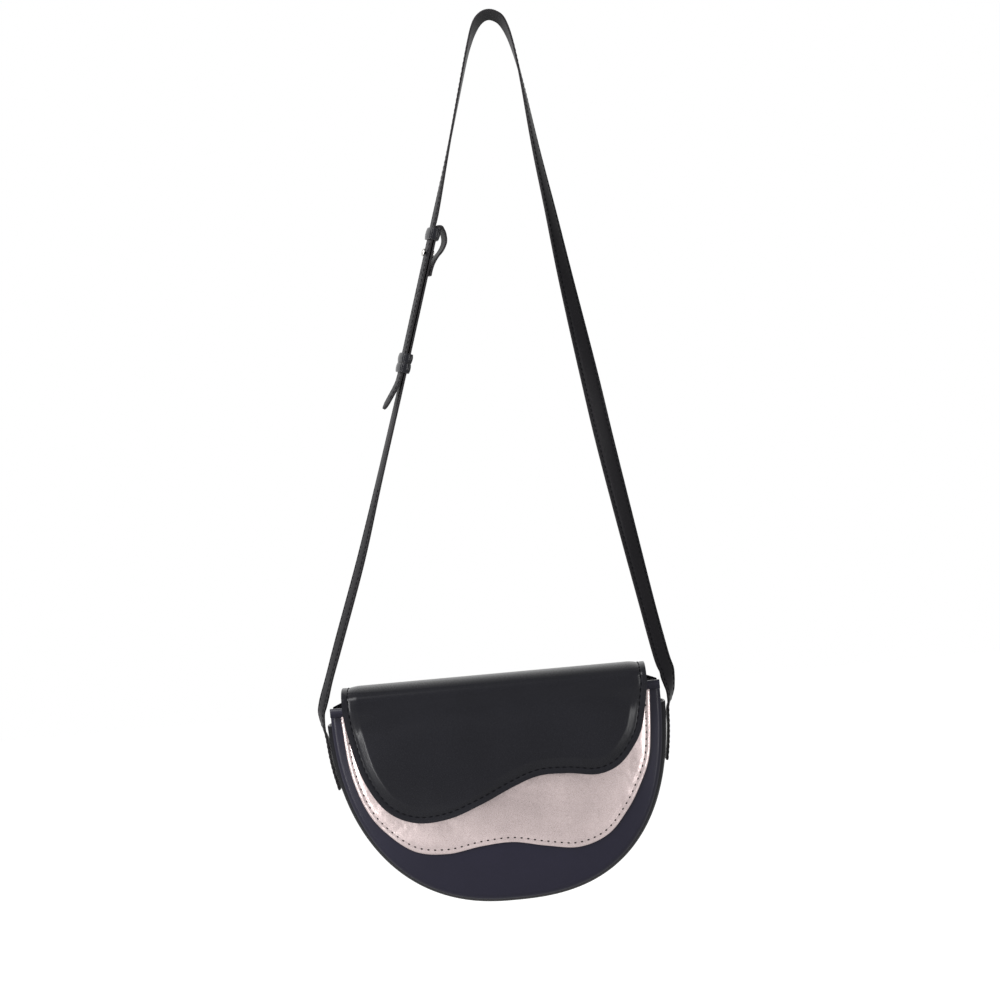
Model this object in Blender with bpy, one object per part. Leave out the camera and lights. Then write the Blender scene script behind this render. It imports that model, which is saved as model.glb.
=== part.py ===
"""Half-moon crossbody bag that hangs by its strap.

The origin is the hang point, under the top of the strap.  +X is to the right, +Y goes
back through the bag and +Z is up.  All lengths are in metres.
"""
import math

import bmesh
import bpy
from mathutils import Matrix, Vector

# Driving dimensions of the bag
HANG_OFFSET = 0.0375
HANG_DROP = 0.464
PANEL_HALF_WIDTH = 0.1125
PANEL_HEIGHT = 0.137
MOUTH_HALF_DEPTH = 0.016
FRONT_SPREAD = 0.00824
BACK_SPREAD = 0.01442
FRONT_CROWN = 0.008
GUSSET_BULGE = 0.0035
GUSSET_POWER = 4
LEFT_OUTLINE_POWER = 2.3
RIGHT_OUTLINE_POWER = 2.6
CROWN_POWER = 4
RIM_CROWN_SHARE = 0.6
CROWN_RISE = 0.060

# Leather, cloth and foam
BODY_LEATHER = 0.0018
WAVE_LEATHER = 0.0014
GUSSET_LEATHER = 0.0016
FLAP_LEATHER = 0.0016
BINDING_LEATHER = 0.0010
LINING_CLOTH = 0.0009
FLAP_FOAM = 0.0012
FOAM_EASE = 0.0006
LINING_SPACE = 0.0013
CLEARANCE = 0.0003
SKIN_EASE = 0.0002

# Wave panel, binding and back
WAVE_HALF_WIDTH = 0.105
WAVE_DEPTH = 0.1056
BINDING_DROP = 0.0045
TONGUE_HALF_WIDTH = 0.104
TONGUE_HEIGHT = 0.0035
YOKE_DROP = 0.024

# Flap
FLAP_HALF_WIDTH = 0.1035
FLAP_DEPTH = 0.0795
FLAP_FRONT_REACH = 0.0274
FLAP_TOP_RISE = 0.0095
FLAP_TOP_POWER = 2.4
FLAP_SETTLE = 0.025
FLAP_EDGE_LIFT = 0.0008
PAD_MARGIN = 0.008
PAD_RAMP = 0.007
PAD_RAMP_START_SHARE = 0.125

# Magnetic snap
SNAP_ACROSS_SHARE = -0.29
SNAP_DOWN_SHARE = 0.654
SNAP_RADIUS = 0.0072
SOCKET_HEIGHT = 0.0022
SOCKET_BORE = 0.0042
SOCKET_BORE_DEPTH = 0.0013
STUD_PLATE = 0.0010
NUB_RADIUS = 0.0030
NUB_HEIGHT = 0.0010
WASHER_RADIUS = 0.0065
WASHER_THICKNESS = 0.0006
SNAP_SPREAD = 0.034
SOCKET_CHAMFER_SHARE = 0.25

# Strap
STRAP_WIDTH = 0.014
STRAP_THICKNESS = 0.0020
SEWN_TOP = 0.020
SEWN_LENGTH = 0.034
HOLE_RADIUS = 0.0014
HOLE_PITCH = 0.014
HOLES_BELOW_STUD = 3

# Adjuster on the strap
SLEEVE_LEATHER = 0.0012
LOOP_HEIGHT = 0.008
LOOP_ABOVE_STUD = 0.0135
KEEPER_HEIGHT = 0.0065
FOLD_SWEEP_DEGREES = 150
BOW_REACH = 0.0055
STUD_HEAD_RADIUS = 0.0027
STUD_HEAD_HEIGHT = 0.0022
STUD_NECK_RADIUS = 0.0011
STUD_NECK_STANDOFF = 0.0006
SCREW_RADIUS = 0.0030
SCREW_HEIGHT = 0.0008
STUD_BALL_START_SHARE = 0.26
TAIL_BEYOND = 0.0240
TAIL_SWING = 0.0060
TAIL_KNEE_SHARE = 0.33
TAIL_KNEE_SWING_SHARE = 0.2

# How finely the pieces are faceted
PANEL_COLUMNS = 26
PANEL_ROWS = 9
LINING_COLUMNS = 20
LINING_ROWS = 7
GUSSET_STATIONS = 30
GUSSET_STEPS = 5
GUSSET_LINING_STATIONS = 24
GUSSET_LINING_STEPS = 4
FLAP_COLUMNS = 26
FLAP_ROWS = 9
PAD_COLUMNS = 20
EDGE_STEPS = 12
FINE_EDGE_COLUMNS = 156
BEND_STEPS = 12
STRAP_STEPS = 6
FOLD_STEPS = 8
BOW_STEPS = 3
SEWN_STEPS = 3
SLEEVE_CORNER_STEPS = 4
BALL_STEPS = 5
HOLE_SIDES = 12
STUD_SIDES = 16
ROUND_SIDES = 24
SHARP_DEGREES = 40
CORNER_DEGREES = 3
MERGE_DISTANCE = 0.00003

# Shares of the half width and depth of the flap, along its lower edge from left to right
FLAP_EDGE_SHARES = (
    (-1.000, 0.000), (-0.980, 0.220), (-0.909, 0.580), (-0.775, 0.868), (-0.590, 0.995),
    (-0.370, 0.985), (-0.145, 0.884), (0.065, 0.765), (0.240, 0.690), (0.430, 0.690),
    (0.620, 0.722), (0.760, 0.668), (0.865, 0.535), (0.945, 0.350), (1.000, 0.000),
)

# Shares of the half width and depth of the wave panel, along its lower edge
WAVE_EDGE_SHARES = (
    (-1.000, 0.090), (-0.972, 0.390), (-0.893, 0.640), (-0.780, 0.800), (-0.600, 0.938),
    (-0.390, 0.970), (-0.170, 0.939), (0.035, 0.930), (0.245, 0.972), (0.457, 1.000),
    (0.645, 0.940), (0.777, 0.808), (0.880, 0.650), (0.965, 0.440), (1.000, 0.060),
)

# Each leg runs from its shoulder on the gusset to the hang point.
# Shares of the way across and up, then the roll of the strap in degrees.
LEFT_LEG_SHARES = (
    (-0.0093, 0.0131, 7), (-0.0152, 0.0255, 14), (-0.0165, 0.0378, 20), (-0.0080, 0.0481, 24),
    (0.0049, 0.0605, 25), (0.0334, 0.0867, 22), (0.0936, 0.1392, 24), (0.2192, 0.2480, 23),
    (0.3338, 0.3588, 16), (0.4250, 0.4540, 14), (0.7030, 0.7320, 14), (0.7708, 0.8142, 4),
    (0.8271, 0.8772, 0), (0.8828, 0.9390, -3), (0.9087, 0.9642, -7), (0.9294, 0.9802, -12),
    (0.9501, 0.9911, -16), (0.9741, 0.9977, -17),
)
LEFT_ADJUSTER_FOOT = 9
RIGHT_LEG_SHARES = (
    (-0.0232, 0.0131, 12), (-0.0358, 0.0255, 24), (-0.0320, 0.0368, 35), (-0.0257, 0.0461, 43),
    (-0.0207, 0.0554, 46), (0.0045, 0.0688, 49), (0.0397, 0.0982, 50), (0.1014, 0.1561, 50),
    (0.2185, 0.2711, 58), (0.3305, 0.3858, 64), (0.4097, 0.4757, 62), (0.5356, 0.6166, 45),
    (0.6174, 0.7173, 31), (0.6904, 0.8032, 20), (0.7521, 0.8892, 8), (0.7898, 0.9320, 0),
    (0.8225, 0.9600, -6), (0.8565, 0.9788, -11), (0.8968, 0.9916, -16), (0.9484, 0.9979, -17),
)
TOP_ROLL = -17
ADJUSTER_STUD_SHARE = 0.780
LOWER_KEEPER_SHARE = 0.212

# The short strap bows out below its fold.  Shares of the fold's height over the stud, then
# of how far the bow stands off.
BOW_SHARES = (
    (0.87, 0.676), (0.56, 1.0), (0.225, 0.82), (-0.056, 0.387), (-0.315, 0.117),
    (-0.59, 0.0), (-0.843, 0.0),
)

# Colours, roughness and metallic value
FINISHES = {
    "black_leather": ((0.018, 0.018, 0.021), 0.38, 0.0),
    "navy_leather": ((0.030, 0.029, 0.045), 0.40, 0.0),
    "metallic_leather": ((0.55, 0.49, 0.47), 0.33, 0.75),
    "lining_cloth": ((0.045, 0.042, 0.050), 0.85, 0.0),
    "foam": ((0.30, 0.30, 0.30), 0.95, 0.0),
    "bright_metal": ((0.62, 0.61, 0.58), 0.25, 1.0),
}


def bag_point(across, back, up):
    """A point given from the middle of the bag's rim, in the part's frame."""
    return Vector((across - HANG_OFFSET, back, up - HANG_DROP))


def clear_scene():
    """Remove every object that is already in the file."""
    for item in list(bpy.data.objects):
        bpy.data.objects.remove(item, do_unlink=True)


def finish_material(name):
    """The named leather, cloth, foam or metal."""
    if name in bpy.data.materials:
        return bpy.data.materials[name]
    colour, roughness, metallic = FINISHES[name]
    material = bpy.data.materials.new(name)
    material.use_nodes = True
    shader = material.node_tree.nodes["Principled BSDF"]
    shader.inputs["Base Color"].default_value = (*colour, 1.0)
    shader.inputs["Roughness"].default_value = roughness
    shader.inputs["Metallic"].default_value = metallic
    return material


def add_pivot(name, place, parent=None):
    """An empty on a joint's axis."""
    pivot = bpy.data.objects.new(name, None)
    bpy.context.scene.collection.objects.link(pivot)
    pivot["place"] = tuple(place)
    pivot.location = place
    if parent is not None:
        pivot.parent = parent
        pivot.location = Vector(place) - Vector(parent["place"])
    return pivot


def add_piece(name, bm, finish, pivot=None):
    """Turn a bmesh in the part's frame into a named object on its pivot."""
    bmesh.ops.recalc_face_normals(bm, faces=bm.faces)
    if pivot is not None:
        bmesh.ops.translate(bm, verts=bm.verts, vec=-Vector(pivot["place"]))
    mesh = bpy.data.meshes.new(name)
    bm.to_mesh(mesh)
    bm.free()
    mesh.shade_smooth()
    mesh.set_sharp_from_angle(angle=math.radians(SHARP_DEGREES))
    mesh.materials.append(finish_material(finish))
    piece = bpy.data.objects.new(name, mesh)
    bpy.context.scene.collection.objects.link(piece)
    piece.parent = pivot
    return piece


def smooth_step(value):
    """Rise smoothly from 0 to 1."""
    value = min(max(value, 0.0), 1.0)
    return value * value * (3 - 2 * value)


def spline_point(rows, position):
    """A point at a position along rows of numbers, on a smooth curve through them."""
    last = len(rows) - 1
    first = min(int(position), last - 1)
    t = position - first
    before, start, end, after = (rows[min(max(first + k, 0), last)] for k in (-1, 0, 1, 2))
    point = []
    for a, b, c, d in zip(before, start, end, after):
        bend = (2 * a - 5 * b + 4 * c - d) * t * t + (3 * b - a - 3 * c + d) * t * t * t
        point.append(0.5 * (2 * b + (c - a) * t + bend))
    return point


def spline(rows, steps):
    """Points on a smooth curve through the rows, with that many steps between rows."""
    count = (len(rows) - 1) * steps
    return [spline_point(rows, index / steps) for index in range(count + 1)]


def loft(rings, closed=False):
    """One closed body through rings of points, capped unless the rings close on themselves."""
    bm = bmesh.new()
    loops = [[bm.verts.new(point) for point in ring] for ring in rings]
    pairs = list(zip(loops, loops[1:]))
    if closed:
        pairs.append((loops[-1], loops[0]))
    for low, high in pairs:
        count = len(low)
        for k in range(count):
            bm.faces.new((low[k], low[(k + 1) % count], high[(k + 1) % count], high[k]))
    if not closed:
        bm.faces.new(loops[0])
        bm.faces.new(loops[-1])
    return bm


def sheet(columns):
    """One closed body between the outer and inner skins of columns of point pairs."""
    bm = bmesh.new()
    skins = []
    for side in (0, 1):
        skins.append([[bm.verts.new(pair[side]) for pair in column] for column in columns])
    for grid in skins:
        for left, right in zip(grid, grid[1:]):
            for k in range(len(left) - 1):
                bm.faces.new((left[k], right[k], right[k + 1], left[k + 1]))
    outer, inner = skins
    rims = []
    for grid in (outer, inner):
        top = [column[0] for column in grid]
        right = grid[-1][1:]
        bottom = [column[-1] for column in grid[-2::-1]]
        left = grid[0][-2:0:-1]
        rims.append(top + right + bottom + left)
    count = len(rims[0])
    for k in range(count):
        n = (k + 1) % count
        bm.faces.new((rims[0][k], rims[0][n], rims[1][n], rims[1][k]))
    return bm


# Shape of the bag

def outline_power(across):
    """How square the half-moon outline is on that side of the bag."""
    return RIGHT_OUTLINE_POWER if across > 0 else LEFT_OUTLINE_POWER


def outline_point(angle, inset=0.0):
    """Across and up on the half-moon outline, from the right corner at 0 to the left at pi."""
    power = 2 / outline_power(math.cos(angle))
    across = math.copysign(abs(math.cos(angle)) ** power, math.cos(angle))
    down = abs(math.sin(angle)) ** power
    return (PANEL_HALF_WIDTH - inset) * across, -(PANEL_HEIGHT - inset) * down


def outline_normal(across, up):
    """The direction out of the half-moon outline at a point near it."""
    share = across / PANEL_HALF_WIDTH
    power = outline_power(across) - 1
    side = math.copysign(abs(share) ** power, share) / PANEL_HALF_WIDTH
    down = abs(up / PANEL_HEIGHT) ** power / PANEL_HEIGHT
    length = math.hypot(side, down)
    return side / length, -down / length


def outline_angles(count):
    """Even angles along the outline, from just inside the left corner to the right one."""
    corner = math.radians(CORNER_DEGREES)
    return [math.pi - corner - (math.pi - 2 * corner) * k / count for k in range(count + 1)]


def front_seam(up):
    """How far forward the front panel's seam lies."""
    return MOUTH_HALF_DEPTH + FRONT_SPREAD * max(-up, 0.0) / PANEL_HEIGHT


def back_seam(up):
    """How far back the flat back panel's outer face lies."""
    return MOUTH_HALF_DEPTH - BACK_SPREAD * up / PANEL_HEIGHT


def front_face(across, up):
    """The y of the front panel's outer face."""
    down = max(-up, 0.0)
    power = outline_power(across)
    radius = (abs(across / PANEL_HALF_WIDTH) ** power
              + (down / PANEL_HEIGHT) ** power) ** (1 / power)
    rise = RIM_CROWN_SHARE + (1 - RIM_CROWN_SHARE) * smooth_step(down / CROWN_RISE)
    crown = FRONT_CROWN * rise * max(1 - radius ** CROWN_POWER, 0.0)
    return -(front_seam(up) + crown)


def wave_face(across, up):
    """The y of the wave panel's outer face."""
    return front_face(across, up) - CLEARANCE - SKIN_EASE - WAVE_LEATHER


def socket_rim():
    """Height of the socket's rim over the wave panel."""
    return CLEARANCE + SOCKET_HEIGHT


def snap_lift():
    """How far the flap stands off the wave panel over the snap."""
    return socket_rim() + CLEARANCE + STUD_PLATE + CLEARANCE + SKIN_EASE


def snap_place():
    """Across and up of the snap's middle, from the flap's size."""
    return FLAP_HALF_WIDTH * SNAP_ACROSS_SHARE, -FLAP_DEPTH * SNAP_DOWN_SHARE


def flap_inner(across, up):
    """The y of the flap lining's inner face."""
    nearness = math.dist((across, up), snap_place()) / SNAP_SPREAD
    swell = math.exp(-nearness ** 4)
    lift = FLAP_EDGE_LIFT + (snap_lift() - FLAP_EDGE_LIFT) * swell
    settled = wave_face(across, up) - lift
    blend = smooth_step(-up / FLAP_SETTLE)
    return (1 - blend) * flap_front_inner() + blend * settled


def flap_thickness():
    """Leather and lining together, at the flap's edge."""
    return FLAP_LEATHER + CLEARANCE + LINING_CLOTH


def flap_front_inner():
    """The y of the flap's inner face at its front fold."""
    return -FLAP_FRONT_REACH + flap_thickness()


def bend_foot():
    """The height at which the flap starts to bend over the mouth."""
    return TONGUE_HEIGHT + 2 * CLEARANCE


def back_hinge_y():
    """The y of the yoke's outer face at the flap's back fold."""
    return back_seam(bend_foot()) + CLEARANCE + FLAP_LEATHER


def region_columns(edge, top, outer, inner, rows):
    """Columns of outer and inner points from a straight top edge down to a lower edge."""
    columns = []
    for across, low in edge:
        column = []
        for k in range(rows + 1):
            up = top + (low - top) * k / rows
            column.append((bag_point(across, outer(across, up), up),
                           bag_point(across, inner(across, up), up)))
        columns.append(column)
    return columns


def edge_from_shares(shares, half_width, depth, count):
    """Points along a lower edge, evenly spaced, from a smooth curve through its shares."""
    fine = spline(shares, EDGE_STEPS)
    points = [(x * half_width, -z * depth) for x, z in fine]
    lengths = [0.0]
    for start, end in zip(points, points[1:]):
        lengths.append(lengths[-1] + math.dist(start, end))
    edge = []
    for k in range(count + 1):
        target = lengths[-1] * k / count
        index = next((i for i, length in enumerate(lengths) if length >= target), len(lengths) - 1)
        edge.append(points[index])
    return edge


def panel_edge(inset=0.0, count=PANEL_COLUMNS):
    """The half-moon edge of a body panel."""
    return [outline_point(angle, inset) for angle in outline_angles(count)]


# Bag body

def make_front_panel(pivot):
    """The crowned navy front."""
    columns = region_columns(
        panel_edge(), 0.0, front_face,
        lambda across, up: front_face(across, up) + BODY_LEATHER, PANEL_ROWS)
    return add_piece("front_panel", sheet(columns), "navy_leather", pivot)


def make_wave_panel(pivot):
    """The metallic panel with a wavy lower edge, lying on the front panel."""
    edge = edge_from_shares(WAVE_EDGE_SHARES, WAVE_HALF_WIDTH, WAVE_DEPTH, FLAP_COLUMNS)
    columns = region_columns(
        edge, 0.0, wave_face,
        lambda across, up: wave_face(across, up) + WAVE_LEATHER, PANEL_ROWS)
    return add_piece("wave_panel", sheet(columns), "metallic_leather", pivot)


def flat_plate(edge, front, thickness):
    """A flat plate cut to an edge, standing back from the plane that front gives."""
    rings = []
    for shift in (0.0, thickness):
        rings.append([bag_point(across, front(up) + shift, up) for across, up in edge])
    return loft(rings)


def make_back_panel(pivot):
    """The flat back, with its raised middle under the flap."""
    edge = panel_edge()
    edge += [(PANEL_HALF_WIDTH, 0.0), (TONGUE_HALF_WIDTH, TONGUE_HEIGHT),
             (-TONGUE_HALF_WIDTH, TONGUE_HEIGHT), (-PANEL_HALF_WIDTH, 0.0)]
    plate = flat_plate(edge, lambda up: back_seam(up) - BODY_LEATHER, BODY_LEATHER)
    return add_piece("back_panel", plate, "navy_leather", pivot)


def gusset_rings(inset, wall, side_gap, stations, steps):
    """Rings of the strip between the panels, bulging outwards between its seams."""
    rings = []
    for angle in outline_angles(stations):
        across, up = outline_point(angle, inset)
        side, rise = outline_normal(across, up)
        front = -front_seam(up) + side_gap
        back = back_seam(up) - side_gap
        ring = []
        for depth, order in ((0.0, 1), (wall, -1)):
            for k in range(steps + 1)[::order]:
                share = 2 * k / steps - 1
                offset = GUSSET_BULGE * (1 - abs(share) ** GUSSET_POWER) - depth
                y = front + (back - front) * k / steps
                ring.append(bag_point(across + side * offset, y, up + rise * offset))
        rings.append(ring)
    return rings


def make_gusset(pivot):
    """The strip that joins front and back."""
    rings = gusset_rings(0.0, GUSSET_LEATHER, BODY_LEATHER + CLEARANCE,
                         GUSSET_STATIONS, GUSSET_STEPS)
    return add_piece("gusset", loft(rings), "black_leather", pivot)


def lining_inset():
    """How far the inner bag lies inside the half-moon outline."""
    return GUSSET_LEATHER + CLEARANCE


def lining_side():
    """How far the inner bag lies inside the faces of the front and back."""
    return BODY_LEATHER + LINING_SPACE


def lining_top():
    """The height of the inner bag's front edge, just under the binding."""
    return -BINDING_DROP - CLEARANCE


def make_linings(pivot):
    """The three cloth pieces of the inner bag."""
    inset = lining_inset() + CLEARANCE
    edge = [(x, min(z, lining_top() - LINING_CLOTH))
            for x, z in panel_edge(inset, LINING_COLUMNS)]
    columns = region_columns(
        edge, lining_top(), lambda across, up: front_face(across, up) + lining_side(),
        lambda across, up: front_face(across, up) + lining_side() + LINING_CLOTH,
        LINING_ROWS)
    add_piece("front_lining", sheet(columns), "lining_cloth", pivot)
    edge = panel_edge(inset, LINING_COLUMNS)
    plate = flat_plate(edge, lambda up: back_seam(up) - lining_side() - LINING_CLOTH,
                       LINING_CLOTH)
    add_piece("back_lining", plate, "lining_cloth", pivot)
    gap = lining_side() + LINING_CLOTH + CLEARANCE
    rings = gusset_rings(lining_inset(), LINING_CLOTH, gap,
                         GUSSET_LINING_STATIONS, GUSSET_LINING_STEPS)
    add_piece("gusset_lining", loft(rings), "lining_cloth", pivot)


def make_front_binding(pivot):
    """The strip folded over the front rim, outside the wave panel and inside the front."""
    rings = []
    for angle in outline_angles(PANEL_COLUMNS):
        across = PANEL_HALF_WIDTH * math.cos(angle)
        face = front_face(across, 0.0)
        inside = face + BODY_LEATHER + CLEARANCE
        outside = wave_face(across, 0.0) - CLEARANCE - SKIN_EASE
        low, top = -BINDING_DROP, CLEARANCE
        profile = (
            (outside - BINDING_LEATHER, low), (outside - BINDING_LEATHER, top + BINDING_LEATHER),
            (inside + BINDING_LEATHER, top + BINDING_LEATHER), (inside + BINDING_LEATHER, low),
            (inside, low), (inside, top), (outside, top), (outside, low))
        lean = FRONT_SPREAD / PANEL_HEIGHT
        rings.append([bag_point(across, y + min(up, 0.0) * lean, up) for y, up in profile])
    return add_piece("front_binding", loft(rings), "navy_leather", pivot)


def make_flap_yoke(pivot):
    """The flat end of the flap, sewn to the back panel."""
    top = TONGUE_HEIGHT
    edge = [(-FLAP_HALF_WIDTH, top), (-FLAP_HALF_WIDTH, -YOKE_DROP),
            (FLAP_HALF_WIDTH, -YOKE_DROP), (FLAP_HALF_WIDTH, top)]
    plate = flat_plate(edge, lambda up: back_seam(up) + CLEARANCE, FLAP_LEATHER)
    return add_piece("flap_yoke", plate, "black_leather", pivot)


# Flap

def bend_profile(inset):
    """Points in y and z along the bend over the mouth, from its back to its front."""
    back = back_hinge_y() - inset
    front = -FLAP_FRONT_REACH + inset
    middle, half = (back + front) / 2, (back - front) / 2
    rise = FLAP_TOP_RISE - inset
    points = []
    for k in range(BEND_STEPS + 1):
        angle = math.pi * k / BEND_STEPS
        power = 2 / FLAP_TOP_POWER
        side = math.copysign(abs(math.cos(angle)) ** power, math.cos(angle))
        points.append((middle + half * side, bend_foot() + rise * math.sin(angle) ** power))
    return points


def make_bend(name, inset, wall, finish, pivot):
    """One layer of the flap's bend, a folded strip across the whole flap."""
    outer = bend_profile(inset)
    inner = bend_profile(inset + wall)
    profile = outer + inner[::-1]
    rings = []
    for across in (-FLAP_HALF_WIDTH, FLAP_HALF_WIDTH):
        rings.append([bag_point(across, y, up) for y, up in profile])
    return add_piece(name, loft(rings), finish, pivot)


def make_flap_bend(pivot):
    """The leather and lining that bend over the mouth."""
    make_bend("flap_bend", 0.0, FLAP_LEATHER, "black_leather", pivot)
    make_bend("flap_bend_lining", FLAP_LEATHER + CLEARANCE, LINING_CLOTH, "lining_cloth", pivot)


def flap_front_top():
    """The height of the flap front's upper edge."""
    return bend_foot() - CLEARANCE


def flap_margin(across, up, edge):
    """How far a point lies inside the flap's sides and lower edge."""
    nearest = min(math.hypot(across - x, up - z) for x, z in edge)
    return min(nearest, FLAP_HALF_WIDTH - abs(across))


def make_flap_front(pivot):
    """The leather and lining of the flap's front, with room for the foam between them."""
    edge = edge_from_shares(FLAP_EDGE_SHARES, FLAP_HALF_WIDTH, FLAP_DEPTH, FLAP_COLUMNS)
    fine_edge = edge_from_shares(
        FLAP_EDGE_SHARES, FLAP_HALF_WIDTH, FLAP_DEPTH, FINE_EDGE_COLUMNS)

    def lining_face(across, up):
        return flap_inner(across, up) - LINING_CLOTH

    def pad_room(across, up):
        margin = flap_margin(across, up, fine_edge)
        inside = smooth_step(margin / PAD_RAMP - PAD_RAMP_START_SHARE)
        from_fold = smooth_step((flap_front_top() - up) / (PAD_MARGIN + PAD_RAMP))
        return (FLAP_FOAM + 2 * FOAM_EASE) * inside * from_fold

    def leather_back(across, up):
        return lining_face(across, up) - CLEARANCE - pad_room(across, up)

    top = flap_front_top()
    columns = region_columns(edge, top, lambda x, z: leather_back(x, z) - FLAP_LEATHER,
                             leather_back, FLAP_ROWS)
    add_piece("flap_front", sheet(columns), "black_leather", pivot)
    columns = region_columns(edge, top, lining_face, flap_inner, LINING_ROWS)
    add_piece("flap_lining", sheet(columns), "lining_cloth", pivot)


def make_flap_pad(pivot):
    """The foam inside the stitch line, with a round window for the stud's washer."""
    inset_share = 1 - (PAD_MARGIN + PAD_RAMP) / FLAP_HALF_WIDTH
    half_width = FLAP_HALF_WIDTH * inset_share
    depth = FLAP_DEPTH - PAD_MARGIN - PAD_RAMP
    edge = edge_from_shares(FLAP_EDGE_SHARES, half_width, depth, PAD_COLUMNS)
    top = -PAD_MARGIN - PAD_RAMP
    edge = [(x, min(z, top - FLAP_FOAM)) for x, z in edge]

    def back(across, up):
        return flap_inner(across, up) - LINING_CLOTH - CLEARANCE - FOAM_EASE

    columns = region_columns(edge, top, lambda x, z: back(x, z) - FLAP_FOAM, back, FLAP_ROWS)
    pad = add_piece("flap_pad", sheet(columns), "foam", pivot)
    radius = WASHER_RADIUS + CLEARANCE
    window = turned(((radius, 0.0), (radius, 2 * snap_lift())), snap_frame())
    cutter = add_piece("pad_window_cutter", window, "foam", pivot)
    hide_cutter(cutter)
    cut = pad.modifiers.new("window", "BOOLEAN")
    cut.operation = "DIFFERENCE"
    cut.solver = "EXACT"
    cut.object = cutter
    return pad


def hide_cutter(cutter):
    """Mark a cutter so that it is no piece of the bag."""
    cutter.hide_render = True
    cutter.display_type = "WIRE"


# Magnetic snap

def snap_frame():
    """Turn and place of the snap's axis: +Z out of the bag, zero on the wave panel."""
    step = SNAP_RADIUS
    across, up = snap_place()
    left, right = (wave_face(across + k * step, up) for k in (-1, 1))
    below, above = (wave_face(across, up + k * step) for k in (-1, 1))
    tilt = Vector(((right - left) / (2 * step), -1, (above - below) / (2 * step)))
    turn = tilt.normalized().to_track_quat("Z", "Y").to_matrix().to_4x4()
    place = bag_point(across, wave_face(across, up), up)
    return Matrix.Translation(place) @ turn


def turned(profile, frame, sides=ROUND_SIDES):
    """A round body turned from a profile of radius and height, placed by a frame."""
    rings = []
    for k in range(sides):
        angle = 2 * math.pi * k / sides
        side = Vector((math.cos(angle), math.sin(angle), 0))
        rings.append([frame @ (side * radius + Vector((0, 0, height)))
                      for radius, height in profile if radius > 0])
    low, high = profile[0][1], profile[-1][1]
    bm = bmesh.new()
    loops = [[bm.verts.new(point) for point in ring] for ring in rings]
    for left, right in zip(loops, loops[1:] + loops[:1]):
        for k in range(len(left) - 1):
            bm.faces.new((left[k], right[k], right[k + 1], left[k + 1]))
    for height, index in ((low, 0), (high, -1)):
        middle = bm.verts.new(frame @ Vector((0, 0, height)))
        for left, right in zip(loops, loops[1:] + loops[:1]):
            bm.faces.new((left[index], right[index], middle))
    return bm


def make_snap_socket(pivot):
    """The socket on the wave panel and its washer behind the front panel."""
    rim = socket_rim()
    floor = rim - SOCKET_BORE_DEPTH
    ease = (SNAP_RADIUS - SOCKET_BORE) * SOCKET_CHAMFER_SHARE
    profile = ((SNAP_RADIUS, CLEARANCE), (SNAP_RADIUS, rim - ease), (SNAP_RADIUS - ease, rim),
               (SOCKET_BORE, rim), (SOCKET_BORE, floor))
    add_piece("snap_socket", turned(profile, snap_frame()), "bright_metal", pivot)
    behind = -WAVE_LEATHER - BODY_LEATHER - 2 * CLEARANCE - SKIN_EASE
    washer = turned(((WASHER_RADIUS, behind - WASHER_THICKNESS), (WASHER_RADIUS, behind)),
                    snap_frame())
    add_piece("snap_socket_washer", washer, "bright_metal", pivot)


def make_snap_stud(pivot):
    """The stud under the flap's lining and its washer in the foam's window."""
    face = socket_rim() + CLEARANCE
    profile = ((NUB_RADIUS, face - NUB_HEIGHT), (NUB_RADIUS, face), (SNAP_RADIUS, face),
               (SNAP_RADIUS, face + STUD_PLATE))
    add_piece("snap_stud", turned(profile, snap_frame()), "bright_metal", pivot)
    ahead = snap_lift() + LINING_CLOTH + CLEARANCE + SKIN_EASE
    washer = turned(((WASHER_RADIUS, ahead), (WASHER_RADIUS, ahead + WASHER_THICKNESS)),
                    snap_frame())
    add_piece("snap_stud_washer", washer, "bright_metal", pivot)


# Strap

def strap_station(place, tangent, roll):
    """The four corners of the strap's section, rolled about its run."""
    outward = Vector((-tangent.z, 0, tangent.x))
    forward = Vector((0, -1, 0))
    cosine, sine = math.cos(math.radians(roll)), math.sin(math.radians(roll))
    normal = outward * cosine + forward * sine
    side = forward * cosine - outward * sine
    corners = []
    for a, b in ((1, 1), (1, -1), (-1, -1), (-1, 1)):
        corners.append(place + side * (a * STRAP_WIDTH / 2) + normal * (b * STRAP_THICKNESS / 2))
    return corners


def strap_rings(rows):
    """Sections of a strap along rows of x, y, z and roll."""
    fine = spline(rows, STRAP_STEPS)
    rings = []
    for k, row in enumerate(fine):
        after, before = fine[min(k + 1, len(fine) - 1)], fine[max(k - 1, 0)]
        tangent = Vector((after[0] - before[0], 0, after[2] - before[2])).normalized()
        rings.append(strap_station(Vector(row[:3]), tangent, row[3]))
    return rings


def sewn_rows(sign):
    """The end of the strap that is sewn to the gusset, from its foot to its shoulder."""
    power = outline_power(sign)
    rows = []
    for k in range(SEWN_STEPS + 1):
        target = -SEWN_TOP - SEWN_LENGTH * (SEWN_STEPS - k) / SEWN_STEPS
        across = sign * PANEL_HALF_WIDTH * (1 - (-target / PANEL_HEIGHT) ** power) ** (1 / power)
        side, rise = outline_normal(across, target)
        reach = GUSSET_BULGE + 2 * CLEARANCE + STRAP_THICKNESS / 2
        place = bag_point(across + side * reach, 0.0, target + rise * reach)
        rows.append((*place, 0.0))
    return rows


def leg_rows(sign, shares):
    """The free part of one leg, from above its shoulder to near the hang point."""
    shoulder = Vector(sewn_rows(sign)[-1][:3])
    top = Vector((0.0, 0.0, STRAP_THICKNESS / 2))
    rows = []
    for across, up, roll in shares:
        x = shoulder.x + (top.x - shoulder.x) * across
        z = shoulder.z + (top.z - shoulder.z) * up
        rows.append((x, 0.0, z, roll))
    return rows


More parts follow.
